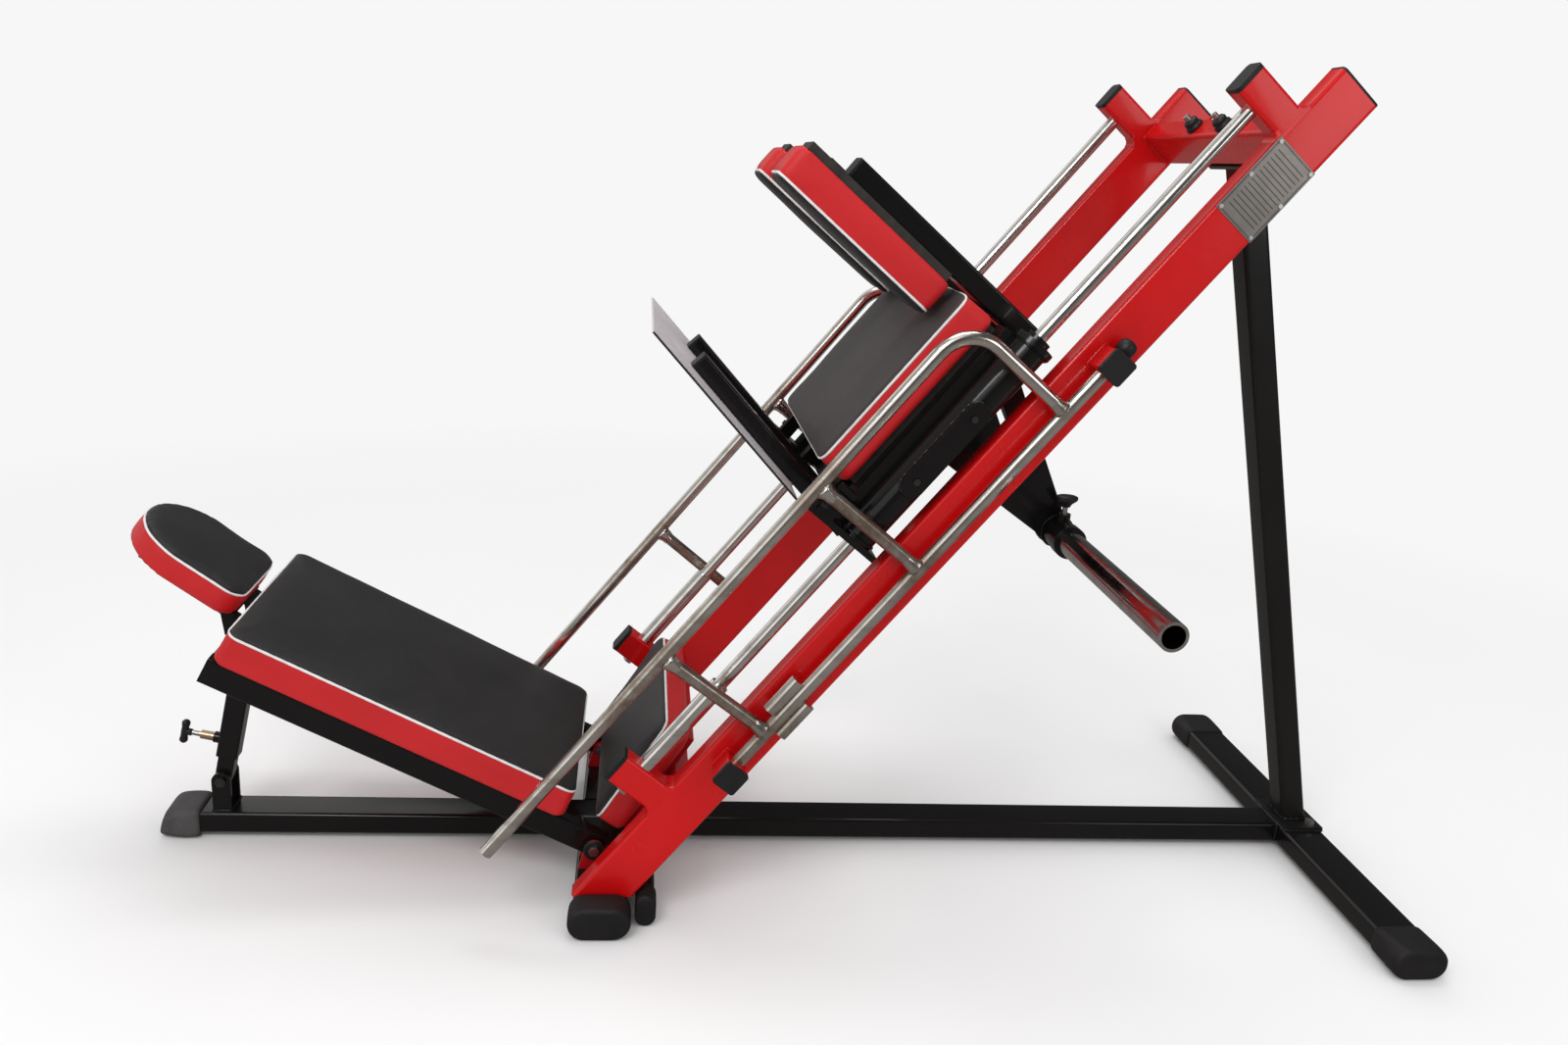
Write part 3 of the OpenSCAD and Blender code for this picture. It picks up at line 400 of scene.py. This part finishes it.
def bead(name, pts, r, mat, body, M, slot, cyclic=True, lump=0.22, step=0.004):
    """Weld bead: a thin rope along a path with an uneven, rippled thickness."""
    path = [Vector(p) for p in pts]
    fine = []
    for i in range(len(path) if cyclic else len(path) - 1):
        a, b = path[i], path[(i + 1) % len(path)]
        n = max(1, round((b - a).length / step))
        fine += [a.lerp(b, k / n) for k in range(n)]
    if not cyclic:
        fine.append(path[-1])
    cu = bpy.data.curves.new(name, "CURVE")
    cu.dimensions, cu.bevel_depth, cu.bevel_resolution, cu.use_fill_caps = "3D", r, 2, True
    sp = cu.splines.new("POLY")
    sp.points.add(len(fine) - 1)
    for i, (q, p) in enumerate(zip(sp.points, fine)):
        q.co = (*p, 1)
        q.radius = 1 + lump * math.sin(i * 1.9) * 0.5 + lump * (noise.noise(p * 90) + rng.uniform(-0.3, 0.3))
    sp.use_cyclic_u = cyclic
    cu.materials.append(mat)
    return settle(link(name, cu, None, M), body)


def ring(M, radius, n=40):
    """Points round a circle in the XY plane of M."""
    angles = [2 * math.pi * k / n for k in range(n)]
    return [M @ Vector((radius * math.cos(a), radius * math.sin(a), 0)) for a in angles]


def revolve(name, profile, M, mat, body, n=40, replaces=(), rough=0.0):
    """Solid of revolution about local Z from (radius, height) pairs."""
    bm = bmesh.new()
    rows = []
    for r, z in profile:
        if r < 1e-6:
            rows.append([bm.verts.new((0, 0, z))])
        else:
            row = []
            for k in range(n):
                a = 2 * math.pi * k / n
                p = Vector((math.cos(a), math.sin(a), 0))
                wave = rough * noise.noise(p * 3 + Vector((0, 0, z * 200)))
                row.append(bm.verts.new(p * (r + wave) + Vector((0, 0, z))))
            rows.append(row)
    for a, b in zip(rows, rows[1:]):
        for k in range(n):
            k2 = (k + 1) % n
            face = [a[k % len(a)], a[k2 % len(a)], b[k2 % len(b)], b[k % len(b)]]
            face = [v for i, v in enumerate(face) if v not in face[:i]]
            if len(face) > 2:
                bm.faces.new(face)
    return settle(link(name, skin(bm, name), mat, M), body, replaces)


def loft(name, sections, M, mat, body, replaces=(), dent=0.0, lean=0.0):
    """Closed skin over sections (x, width, height, corner radius, centre height) along X, capped ends."""
    bm = bmesh.new()
    rows = []
    tall = max(s[2] for s in sections)
    for x, w, h, r, zc in sections:
        row = []
        for p in rounded(w, h, min(r, w / 2 - 1e-4, h / 2 - 1e-4), 10):
            q = Vector((x, p.x, p.y + zc))
            if dent:
                q += Vector((0, noise.noise(q * 22), noise.noise(q * 22 + Vector((9, 0, 0))))) * dent
            q.z = max(q.z, zc - h / 2)
            q.x -= lean * q.z / tall * x / sections[-1][0]
            row.append(bm.verts.new(q))
        rows.append(row)
    ob = link(name, closed(bm, rows, name), mat, M)
    mod = ob.modifiers.new("round", "SUBSURF")
    mod.levels = mod.render_levels = 1
    return settle(ob, body, replaces)


# ---- Upholstered pads --------------------------------------------------------------------------
CLOTH_FRAMES = 20
PUFF = 0.45             # share of the cloth's movement that is kept
OUTLINE_STEP = 0.005    # spacing of the points round a pad
PIPING_R = 0.0024
PINCH, PINCH_BAND = 0.0016, 0.005   # how far the seam is drawn in, and half the height of that band


def block(outline, low_z, high_z):
    """Closed block on an outline, as a new mesh."""
    bm = bmesh.new()
    rows = [[bm.verts.new((p.x, p.y, z)) for p in outline] for z in (low_z, high_z)]
    return closed(bm, rows, "block")


def applied(ob, name):
    """The object's mesh with its modifiers applied."""
    dg = bpy.context.evaluated_depsgraph_get()
    return bpy.data.meshes.new_from_object(ob.evaluated_get(dg), depsgraph=dg)


def swell(ob, cap, press):
    """Inflates a pad with Cloth from frame 1, with its base held, and caps how far a point moves."""
    me = ob.data
    group = ob.vertex_groups.new(name="held")
    group.add([v.index for v in me.vertices if v.co.z < 0.006], 1.0, "REPLACE")
    mod = ob.modifiers.new("Cloth", "CLOTH")
    st = mod.settings
    st.use_pressure = True
    st.uniform_pressure_force = press
    st.effector_weights.gravity = 0
    st.vertex_group_mass = "held"
    st.quality = 5
    st.tension_stiffness = st.compression_stiffness = 12
    st.bending_stiffness = 1.5
    mod.collision_settings.use_collision = False
    for f in range(1, CLOTH_FRAMES + 1):
        bpy.context.scene.frame_set(f)
    new = applied(ob, ob.name + "_sim")
    moved = [new.vertices[i].co.copy() for i in range(len(me.vertices))]
    ob.modifiers.clear()
    ob.vertex_groups.clear()
    bpy.data.meshes.remove(new)
    bpy.context.scene.frame_set(1)
    for v, p in zip(me.vertices, moved):
        d = p - v.co
        if d.length > cap:
            d *= cap / d.length
        v.co += d * PUFF
        v.co.z = max(v.co.z, 0.0)


def pad(name, outline, thick, M, body, nodes, cap=0.006, crown=0.003, press=4.0, seam=0.009,
        voxel=0.006, face=(0.0175, 0.016, 0.0163)):
    """One pad in local coordinates: base on z = 0, face up, with a seam and white piping round the face."""
    edge = even(outline, OUTLINE_STEP)
    ob = link(name, block(inset(edge, 0.0045), 0.0008, thick - 0.005), None, None)
    mod = ob.modifiers.new("remesh", "REMESH")
    mod.mode, mod.voxel_size = "VOXEL", voxel
    me = applied(ob, name)
    ob.modifiers.clear()
    ob.data = me
    swell(ob, cap, press)
    smooth = ob.modifiers.new("relax", "SMOOTH")
    smooth.factor, smooth.iterations = 0.5, 4
    me = applied(ob, name)
    ob.modifiers.clear()
    ob.data = me
    seam_z = thick - seam
    top = max(v.co.z for v in me.vertices)
    for i, want in ((0, [p.x for p in edge]), (1, [p.y for p in edge])):
        have = [v.co[i] for v in me.vertices]
        k = (max(want) - min(want)) / (max(have) - min(have))
        mid = (max(want) + min(want)) / 2
        for v, h in zip(me.vertices, have):
            v.co[i] = mid + (h - (max(have) + min(have)) / 2) * k
    for v in me.vertices:
        v.co.z *= (thick + 0.001) / top
    xs, ys = [p.x for p in edge], [p.y for p in edge]
    cx, cy = (min(xs) + max(xs)) / 2, (min(ys) + max(ys)) / 2
    rx, ry = (max(xs) - min(xs)) / 2, (max(ys) - min(ys)) / 2
    for v in me.vertices:
        u, w = (v.co.x - cx) / rx, (v.co.y - cy) / ry
        if v.co.z > seam_z:
            dome = max(0.0, 1 - u * u) * max(0.0, 1 - w * w)
            v.co.z += crown * dome ** 0.6 + 0.0012 * noise.noise(Vector((v.co.x * 9, v.co.y * 9, thick * 50)))
        pinch = math.exp(-((v.co.z - seam_z) / PINCH_BAND) ** 2) if max(abs(u), abs(w)) > 0.8 else 0.0
        v.co.x -= PINCH * pinch * u
        v.co.y -= PINCH * pinch * w
        if v.co.z < 0.003:
            v.co.z = 0.0
    mod = ob.modifiers.new("soften", "SUBSURF")
    mod.levels = mod.render_levels = 1
    me.materials.append(vinyl("vinyl_" + name, seam_z, face))
    me.polygons.foreach_set("use_smooth", [True] * len(me.polygons))
    tree = BVHTree.FromPolygons([v.co for v in me.vertices], [list(p.vertices) for p in me.polygons])
    rope = []
    wide = inset(edge, -0.03)
    for p, q in zip(edge, wide):
        start = Vector((q.x, q.y, seam_z))
        hit = tree.ray_cast(start, Vector((p.x - q.x, p.y - q.y, 0)).normalized(), 0.08)[0]
        if hit is not None:
            rope.append(hit + (start - hit).normalized() * 0.0003)
    cu = bpy.data.curves.new(name + "_piping", "CURVE")
    cu.dimensions, cu.bevel_depth, cu.bevel_resolution = "3D", PIPING_R, 3
    sp = cu.splines.new("POLY")
    sp.points.add(len(rope) - 1)
    for k, (q, p) in enumerate(zip(sp.points, rope)):
        near = [rope[(k + d) % len(rope)] for d in (-2, -1, 0, 1, 2)]
        q.co = (*(sum(near, Vector()) / 5), 1)
        q.radius = 1 + 0.06 * math.sin(k * 1.3)
    sp.use_cyclic_u = True
    cu.materials.append(PIPING)
    ob.matrix_world = M
    settle(ob, body, nodes)
    settle(link(name + "_piping", cu, None, M), body)


def turned(x, y, z, origin):
    """Matrix with the given axes and origin, all in the parent coordinates."""
    x, y, z = Vector(x), Vector(y), Vector(z)
    return Matrix(((x.x, y.x, z.x, origin[0]), (x.y, y.y, z.y, origin[1]), (x.z, y.z, z.z, origin[2]),
                   (0, 0, 0, 1)))


M_BACK = M_RAIL @ Matrix.Translation((1.0925, 0, 0.216))
# The back cushion's face colour is painted lighter than the other pads' faces: a painted highlight for the
# brighter reflection that it catches.
pad("back_cushion", rounded(0.381, 0.524, 0.028), 0.072, M_BACK, "carriage", ["back_pad"],
    cap=0.007, face=(0.036, 0.030, 0.0295))
M_SEAT = M_RAIL @ Matrix.Translation((0.108, 0, 0.068)) @ Matrix.Rotation(math.radians(-6), 4, "Y")
pad("seat_cushion", rounded(0.244, 0.444, 0.025), 0.062, M_SEAT @ Matrix.Translation((0.122, 0, 0)),
    "frame", ["seat_pad"])
pad("bench_cushion", rounded(0.688, 0.456, 0.026), 0.068, M_BENCH @ Matrix.Translation((-0.426, 0, 0.030)),
    "bench", ["bench_pad"], cap=0.007)
head = [Vector((-0.127 + 0.111 * math.cos(a), 0.111 * math.sin(a)))
        for a in [math.pi / 2 + math.pi * k / 40 for k in range(41)]]
for corner_y, start in ((-0.071, -math.pi / 2), (0.071, 0.0)):
    for k in range(11):
        a = start + math.pi / 2 * k / 10
        head.append(Vector((-0.04 + 0.04 * math.cos(a), corner_y + 0.04 * math.sin(a))))
pad("headrest_cushion", head, 0.056, M_HEAD, "bench", ["headrest_pad"], cap=0.005,
    voxel=0.0045)
shoulder_face = 1.290 - 0.015
for side, label in SIDES:
    local = turned((0, 0, 1), (0, 1, 0), (-1, 0, 0), (shoulder_face, side * 0.165, 0.303 + 0.176))
    pad("shoulder_cushion_" + label, rounded(0.352, 0.130, 0.022), 0.068, M_RAIL @ local, "carriage",
        ["shoulder_pads"], cap=0.005, voxel=0.005)

# ---- Rubber boots ------------------------------------------------------------------------------
MID = 0.0325
FRONT_BOOT = [(0, .108, .058, .024, MID), (.003, .114, .064, .029, MID), (.018, .1155, .065, .031, MID),
              (.040, .116, .065, .032, MID), (.043, .1145, .0635, .031, MID), (.046, .116, .065, .032, MID),
              (.053, .1145, .064, .0315, MID), (.057, .108, .058, .028, MID), (.0588, .094, .044, .021, MID)]
SMALL_BOOT = [(0, .036, .059, .017, MID), (.003, .039, .064, .019, MID), (.030, .040, .065, .0195, MID),
              (.033, .036, .060, .0175, MID), (.036, .0395, .0645, .019, MID), (.045, .040, .065, .0195, MID),
              (.049, .035, .058, .0165, MID), (.050, .026, .046, .012, MID)]
REAR_BOOT = [(0, .095, .050, .012, MID), (.003, .099, .054, .015, MID), (.030, .101, .058, .018, MID),
             (.052, .104, .062, .023, MID), (.070, .108, .065, .028, MID), (.083, .108, .065, .030, MID),
             (.089, .102, .060, .028, MID), (.0918, .086, .046, .021, MID)]
END_BOOT = [(0, .086, .056, .010, MID), (.003, .092, .063, .014, MID), (.030, .093, .064, .015, MID),
            (.055, .094, .065, .018, MID), (.072, .090, .062, .020, .032), (.080, .080, .052, .018, .028),
            (.0818, .064, .038, .014, .024)]
BOOTS = (("front", FRONT_BOOT, FRONT_X, 0.315, "front_foot_caps", 0.0006),
         ("small", SMALL_BOOT, SMALL_X, 0.280, "front_foot_caps", 0.0004),
         ("rear", REAR_BOOT, REAR_X, 0.408, "rear_foot_caps", 0.0006))
for side, label in SIDES:
    out = Matrix.Rotation(math.radians(90 * side), 4, "Z")
    for kind, shape, x, y, cap_node, dent in BOOTS:
        at = M_MACHINE @ Matrix.Translation((x, side * y, 0)) @ out
        loft(f"{kind}_boot_{label}", shape, at, RUBBER, "frame", [cap_node], dent=dent)
base_end = M_MACHINE @ Matrix.Translation((-0.815, 0, 0)) @ Matrix.Rotation(math.pi, 4, "Z")
loft("base_boot", END_BOOT, base_end, GREY_RUBBER, "frame", ["base_end_cap"], dent=0.0035,
     lean=0.016)

# ---- Knobs, caps and washers -------------------------------------------------------------------
DOME_CAP = [(0, 0), (.0145, 0), (.0165, .0015), (.0168, .010), (.0160, .0165), (.0125, .0218),
            (.0065, .0242), (0, .0248)]
DOME_NUT = [(.0061, 0), (.0160, 0), (.0166, .002), (.0163, .0055), (.0132, .0080), (.0130, .0095),
            (.0137, .0110), (.0136, .0150), (.0112, .0188), (.0080, .0202), (.0061, .0203),
            (.0061, .010), (.0061, 0)]
T_BAR = [(0, -.0245), (.0048, -.0240), (.0076, -.0205), (.0078, -.017), (.0066, -.010), (.0072, 0),
         (.0066, .010), (.0078, .017), (.0076, .0205), (.0048, .0240), (0, .0245)]
WASHER = [(.0079, 0), (.0195, 0), (.0205, .0012), (.0198, .0036), (.0150, .0045), (.0079, .0045), (.0079, 0)]
T_STEM = [(.0051, .0139), (.0064, .0136), (.0070, .0115), (.0066, .004), (.0070, -.002), (.0051, -.002),
          (.0051, .0139)]
CLAMP_KNOB = [(0, .0668), (.0053, .0668), (.0053, .055), (.0088, .055), (.0098, .0575), (.0120, .0612),
              (.0175, .0652), (.0210, .0682), (.0220, .0718), (.0212, .0748), (.0165, .0768),
              (.0080, .0776), (0, .0778)]
for side, label in SIDES:
    at = Matrix.Translation(M_RAIL @ Vector((HORN_S, side * CLAMP_Y, HORN_N)))
    knob = revolve("clamp_knob_" + label, CLAMP_KNOB, at, PLASTIC, label + "_clamp",
                   replaces=[label + "_clamp_knob"])
    knob.data.transform(Matrix.Diagonal((1, 0.68, 1, 1)))
    axis = M_RAIL @ turned((0, 0, -1), (0, 1, 0), (1, 0, 0), (1.377, side * HANDLE_Y, HANDLE_N))
    revolve("handle_knob_" + label, DOME_CAP, axis, PLASTIC, label + "_handle",
            replaces=[label + "_handle_cap"])
    nut = M_RAIL @ Matrix.Translation((1.8305, side * 0.058, 0.085))
    revolve("stud_nut_" + label, DOME_NUT, nut, PLASTIC, "frame", replaces=["crossbar_nuts"])
    ear_out = 0.200 + 0.015 + 0.003 + 0.006
    turn = Matrix.Rotation(math.radians(90 if side < 0 else -90), 4, "X")
    washer_at = M_MACHINE @ Matrix.Translation((HINGE_X, side * ear_out, HINGE_Z)) @ turn
    revolve("hinge_washer_" + label, WASHER, washer_at, PLASTIC, "frame")
pin_at = M_STRUT @ Matrix.Translation((-0.088, 0, 0.080))
revolve("pin_grip", T_BAR, pin_at, PLASTIC, "pin", replaces=["pull_pin_handle"])
revolve("pin_grip_stem", T_STEM, pin_at @ Matrix.Rotation(math.radians(90), 4, "Y"), PLASTIC, "pin")

# ---- Welds -------------------------------------------------------------------------------------
RAIL_OUT, RAIL_IN = 0.3146, 0.2694
CROSS_S = (0.487, 0.883)
FLARE = [(.0126, -.034), (.0129, -.029), (.0138, -.023), (.0156, -.0165), (.0182, -.0105), (.0168, -.006),
         (0, -.004)]
ELBOW_FLARE = [(.0126, .030), (.0134, .022), (.0158, .0145), (.0170, .009), (0, .004)]


def on_handle(s, side):
    """Frame of a lock handle's own tube at place s along the rails, with Z towards the grip bar."""
    lean = Matrix.Rotation(-HANDLE_LEAN * side, 4, "X")
    return M_RAIL @ Matrix.Translation((s, side * HANDLE_Y, HANDLE_N)) @ lean


def frame_bead(name, pts, r, mat, M, **kw):
    slot = "red_paint" if mat is RED else "black_paint"
    bead(name, pts, r, mat, "frame", M, slot, **kw)


def upright_loop(s0, s1, y, n0, n1):
    return [(s0, y, n0), (s1, y, n0), (s1, y, n1), (s0, y, n1)]


def flat_loop(x0, x1, y, z):
    return [(x0, -y, z), (x1, -y, z), (x1, y, z), (x0, y, z)]


for side, label in SIDES:
    for k, (s0, s1) in enumerate(((0.366, 0.411), (1.328, 1.373))):
        loop = upright_loop(s0, s1, side * RAIL_OUT, .022, .066)
        frame_bead(f"bracket_weld_{label}_{k}", loop, .0024, RED, M_RAIL)
    loop = upright_loop(1.809, 1.852, side * RAIL_IN, .007, .083)
    frame_bead(f"crossbar_weld_{label}", loop, .0032, RED, M_RAIL)
    for k, s in enumerate((0.853, 1.2835)):
        ring_at = turned((0, 0, -1), (0, 1, 0), (1, 0, 0), (s, side * ROD_Y, ROD_N))
        bead(f"sleeve_weld_{label}_{k}", ring(ring_at, 0.0332), .0026, BLACK, "carriage", M_RAIL,
             "black_paint")
    plate_mid, plate_half, plate_r = 1.063, 0.080, 0.021
    oblong = []
    for k in range(25):
        a = math.pi * k / 24 - math.pi / 2
        oblong.append((plate_mid + plate_half + plate_r * math.cos(a), plate_r * math.sin(a)))
    oblong += [(2 * plate_mid - s, -n) for s, n in oblong]
    path = [(s, side * (ROD_Y + math.sqrt(SLEEVE_R ** 2 - n * n) + 0.0004), ROD_N + n) for s, n in oblong]
    bead("plate_weld_" + label, path, .0026, BLACK, "carriage", M_RAIL, "black_paint", lump=0.35)
    for k, y in enumerate((0.130, 0.162)):
        hoop = M_RAIL @ turned((1, 0, 0), (0, 0, 1), (0, -1, 0), (HORN_S, side * y, HORN_N))
        bead(f"hanger_weld_{label}_{k}", ring(Matrix.Identity(4), 0.0292), .0034, BLACK, "carriage", hoop,
             "black_paint")
    for k, s in enumerate(CROSS_S):
        at = on_handle(s, side)
        top = at @ Matrix.Translation((0, 0, HANDLE_REACH))
        revolve(f"flare_top_{label}_{k}", FLARE, top, TUBE, label + "_handle", rough=.0012)
        low = [(r, -z) for r, z in FLARE]
        revolve(f"flare_low_{label}_{k}", low, at, TUBE, label + "_handle", rough=.0012)
    revolve(f"flare_elbow_{label}", ELBOW_FLARE, on_handle(1.243, side), TUBE, label + "_handle",
            rough=.001)
frame_bead("post_weld", flat_loop(1.488, 1.540, .030, .0638), .0048, BLACK, M_MACHINE, lump=0.4)
frame_bead("flange_weld", flat_loop(1.471, 1.559, .065, .0556), .0028, BLACK, M_MACHINE, lump=0.35)
arch = [(-.037, .014), (-.037, .052), (-.030, .0552), (.030, .0552), (.037, .052), (.037, .014)]
arch = [(1.4695, y, z) for y, z in arch]
frame_bead("base_weld", arch, .0036, BLACK, M_MACHINE, cyclic=False, lump=0.4)
frame_bead("ear_weld", flat_loop(-.793, -.757, .0275, .0555), .0026, BLACK, M_MACHINE, lump=0.3)


def stub_fillet(name, s0, s1, side):
    """Ground weld that blends a rod bracket into its rail: flush sides and a hollow fillet at both ends."""
    prof, r = [(s0 - .012, .080), (s0 - .012, .0898)], .012
    turns = [math.pi / 12 * k for k in range(1, 7)]
    prof += [(s0 - .012 + r * math.sin(a), .0898 + r * (1 - math.cos(a))) for a in turns]
    prof += [(s1 + .012 - r * math.sin(a), .0898 + r * (1 - math.cos(a))) for a in reversed(turns)]
    prof += [(s1 + .012, .0898), (s1 + .012, .080)]
    bm = bmesh.new()
    rows = [[bm.verts.new((s, side * y, n)) for s, n in prof] for y in (.2696, .3144)]
    ob = link(name, closed(bm, rows, name), RED, M_RAIL, smooth=False)
    ob.modifiers.new("soft_edges", "BEVEL").width = 0.0015
    settle(ob, "frame")


for side, label in SIDES:
    stub_fillet("low_stub_fillet_" + label, 0.225, 0.283, side)
    stub_fillet("top_stub_fillet_" + label, 1.793, 1.849, side)

# ---- Camera, light and floor -------------------------------------------------------------------


def studio():
    yaw, pitch, roll = 0.13484, 0.29088, 0.08168
    fw = Vector((math.sin(yaw) * math.cos(pitch), math.cos(yaw) * math.cos(pitch), -math.sin(pitch)))
    r0 = Vector((math.cos(yaw), -math.sin(yaw), 0))
    u0 = r0.cross(fw)
    right = math.cos(roll) * r0 + math.sin(roll) * u0
    up = -math.sin(roll) * r0 + math.cos(roll) * u0
    cam = bpy.data.cameras.new("camera")
    cam.lens, cam.sensor_width = 27.0, 36.0
    ob = bpy.data.objects.new("camera", cam)
    bpy.context.scene.collection.objects.link(ob)
    ob.matrix_world = turned(right, up, -fw, (0.009215 + SHIFT, -2.212443, 1.366014))
    bpy.context.scene.camera = ob

    bpy.ops.mesh.primitive_plane_add(size=60, location=(0, 0, -0.0005))
    floor = bpy.context.object
    floor.name = "floor"
    m = Mat("pale_floor")
    m.set(Base_Color=m.ramp(m.noise(0.6, 3), (0.3, 0.80), (0.7, 0.83)), Roughness=0.85,
          Specular_IOR_Level=0.1)
    far = m.node("VectorMath", out=1, props={"operation": "LENGTH"}, i0=m.co)
    glossy = m.nt.nodes.new("ShaderNodeLightPath").outputs["Is Glossy Ray"]
    glow = m.node("Emission", Color=m.mix(glossy, (0.93, 0.93, 0.93), (0.17, 0.155, 0.145)), Strength=1.0)
    fade = m.math("MAXIMUM", m.ramp(m.math("DIVIDE", far, 5.0), (0.3, 0.0), (0.8, 1.0)),
                  m.math("MULTIPLY", glossy, 0.92))
    blend_node = m.nt.nodes.new("ShaderNodeMixShader")
    m.nt.links.new(fade, blend_node.inputs[0])
    m.nt.links.new(m.b.outputs[0], blend_node.inputs[1])
    m.nt.links.new(glow, blend_node.inputs[2])
    m.nt.links.new(blend_node.outputs[0], m.nt.nodes["Material Output"].inputs[0])
    floor.data.materials.append(m.m)

    world = bpy.data.worlds.new("studio")
    bpy.context.scene.world = world
    world.use_nodes = True
    nt = world.node_tree
    nt.nodes.clear()
    out = nt.nodes.new("ShaderNodeOutputWorld")
    bg = nt.nodes.new("ShaderNodeBackground")
    co = nt.nodes.new("ShaderNodeTexCoord")
    across = nt.nodes.new("ShaderNodeVectorMath")
    across.operation = "DOT_PRODUCT"
    across.inputs[1].default_value = ACROSS
    half = nt.nodes.new("ShaderNodeMath")
    half.operation = "MULTIPLY_ADD"
    half.inputs[1].default_value = half.inputs[2].default_value = 0.5
    ramp = nt.nodes.new("ShaderNodeValToRGB")
    path = nt.nodes.new("ShaderNodeLightPath")
    mix = nt.nodes.new("ShaderNodeMix")
    mix.data_type = "RGBA"
    nt.links.new(co.outputs["Generated"], across.inputs[0])
    nt.links.new(across.outputs["Value"], half.inputs[0])
    nt.links.new(half.outputs[0], ramp.inputs[0])
    e = ramp.color_ramp.elements
    bands = (0.0, 0.14), (0.60, 0.06), (0.68, 0.08), (0.72, 0.95), (0.90, 0.95), (0.94, 0.42), (1.0, 0.42)
    while len(e) < len(bands):
        e.new(0.5)
    for el, (p, c) in zip(e, bands):
        el.position, el.color = p, (c, c * 0.985, c * 0.965, 1)
    nt.links.new(path.outputs["Is Glossy Ray"], mix.inputs[0])
    mix.inputs[6].default_value = (0.93, 0.93, 0.93, 1)
    nt.links.new(ramp.outputs[0], mix.inputs[7])
    nt.links.new(mix.outputs[2], bg.inputs[0])
    bg.inputs[1].default_value = 1.0
    nt.links.new(bg.outputs[0], out.inputs[0])

    def area(name, at, to, size, power):
        li = bpy.data.lights.new(name, "AREA")
        li.shape, li.size, li.size_y, li.energy = "RECTANGLE", size[0], size[1], power
        li.specular_factor = 0.45
        ob = bpy.data.objects.new(name, li)
        bpy.context.scene.collection.objects.link(ob)
        ob.location = at
        ob.rotation_mode = "QUATERNION"
        ob.rotation_quaternion = (Vector(to) - Vector(at)).to_track_quat("-Z", "Y")

    area("key", (-1.6, -2.6, 3.4), (0.1, 0, 0.7), (1.5, 1.0), 46)
    area("fill", (2.6, -3.2, 2.0), (0.3, 0, 0.7), (1.0, 1.4), 12)
    area("top", (0.2, 0.4, 4.2), (0.2, 0, 0.6), (2.4, 0.8), 30)
    bpy.context.scene.view_settings.view_transform = "Standard"


studio()
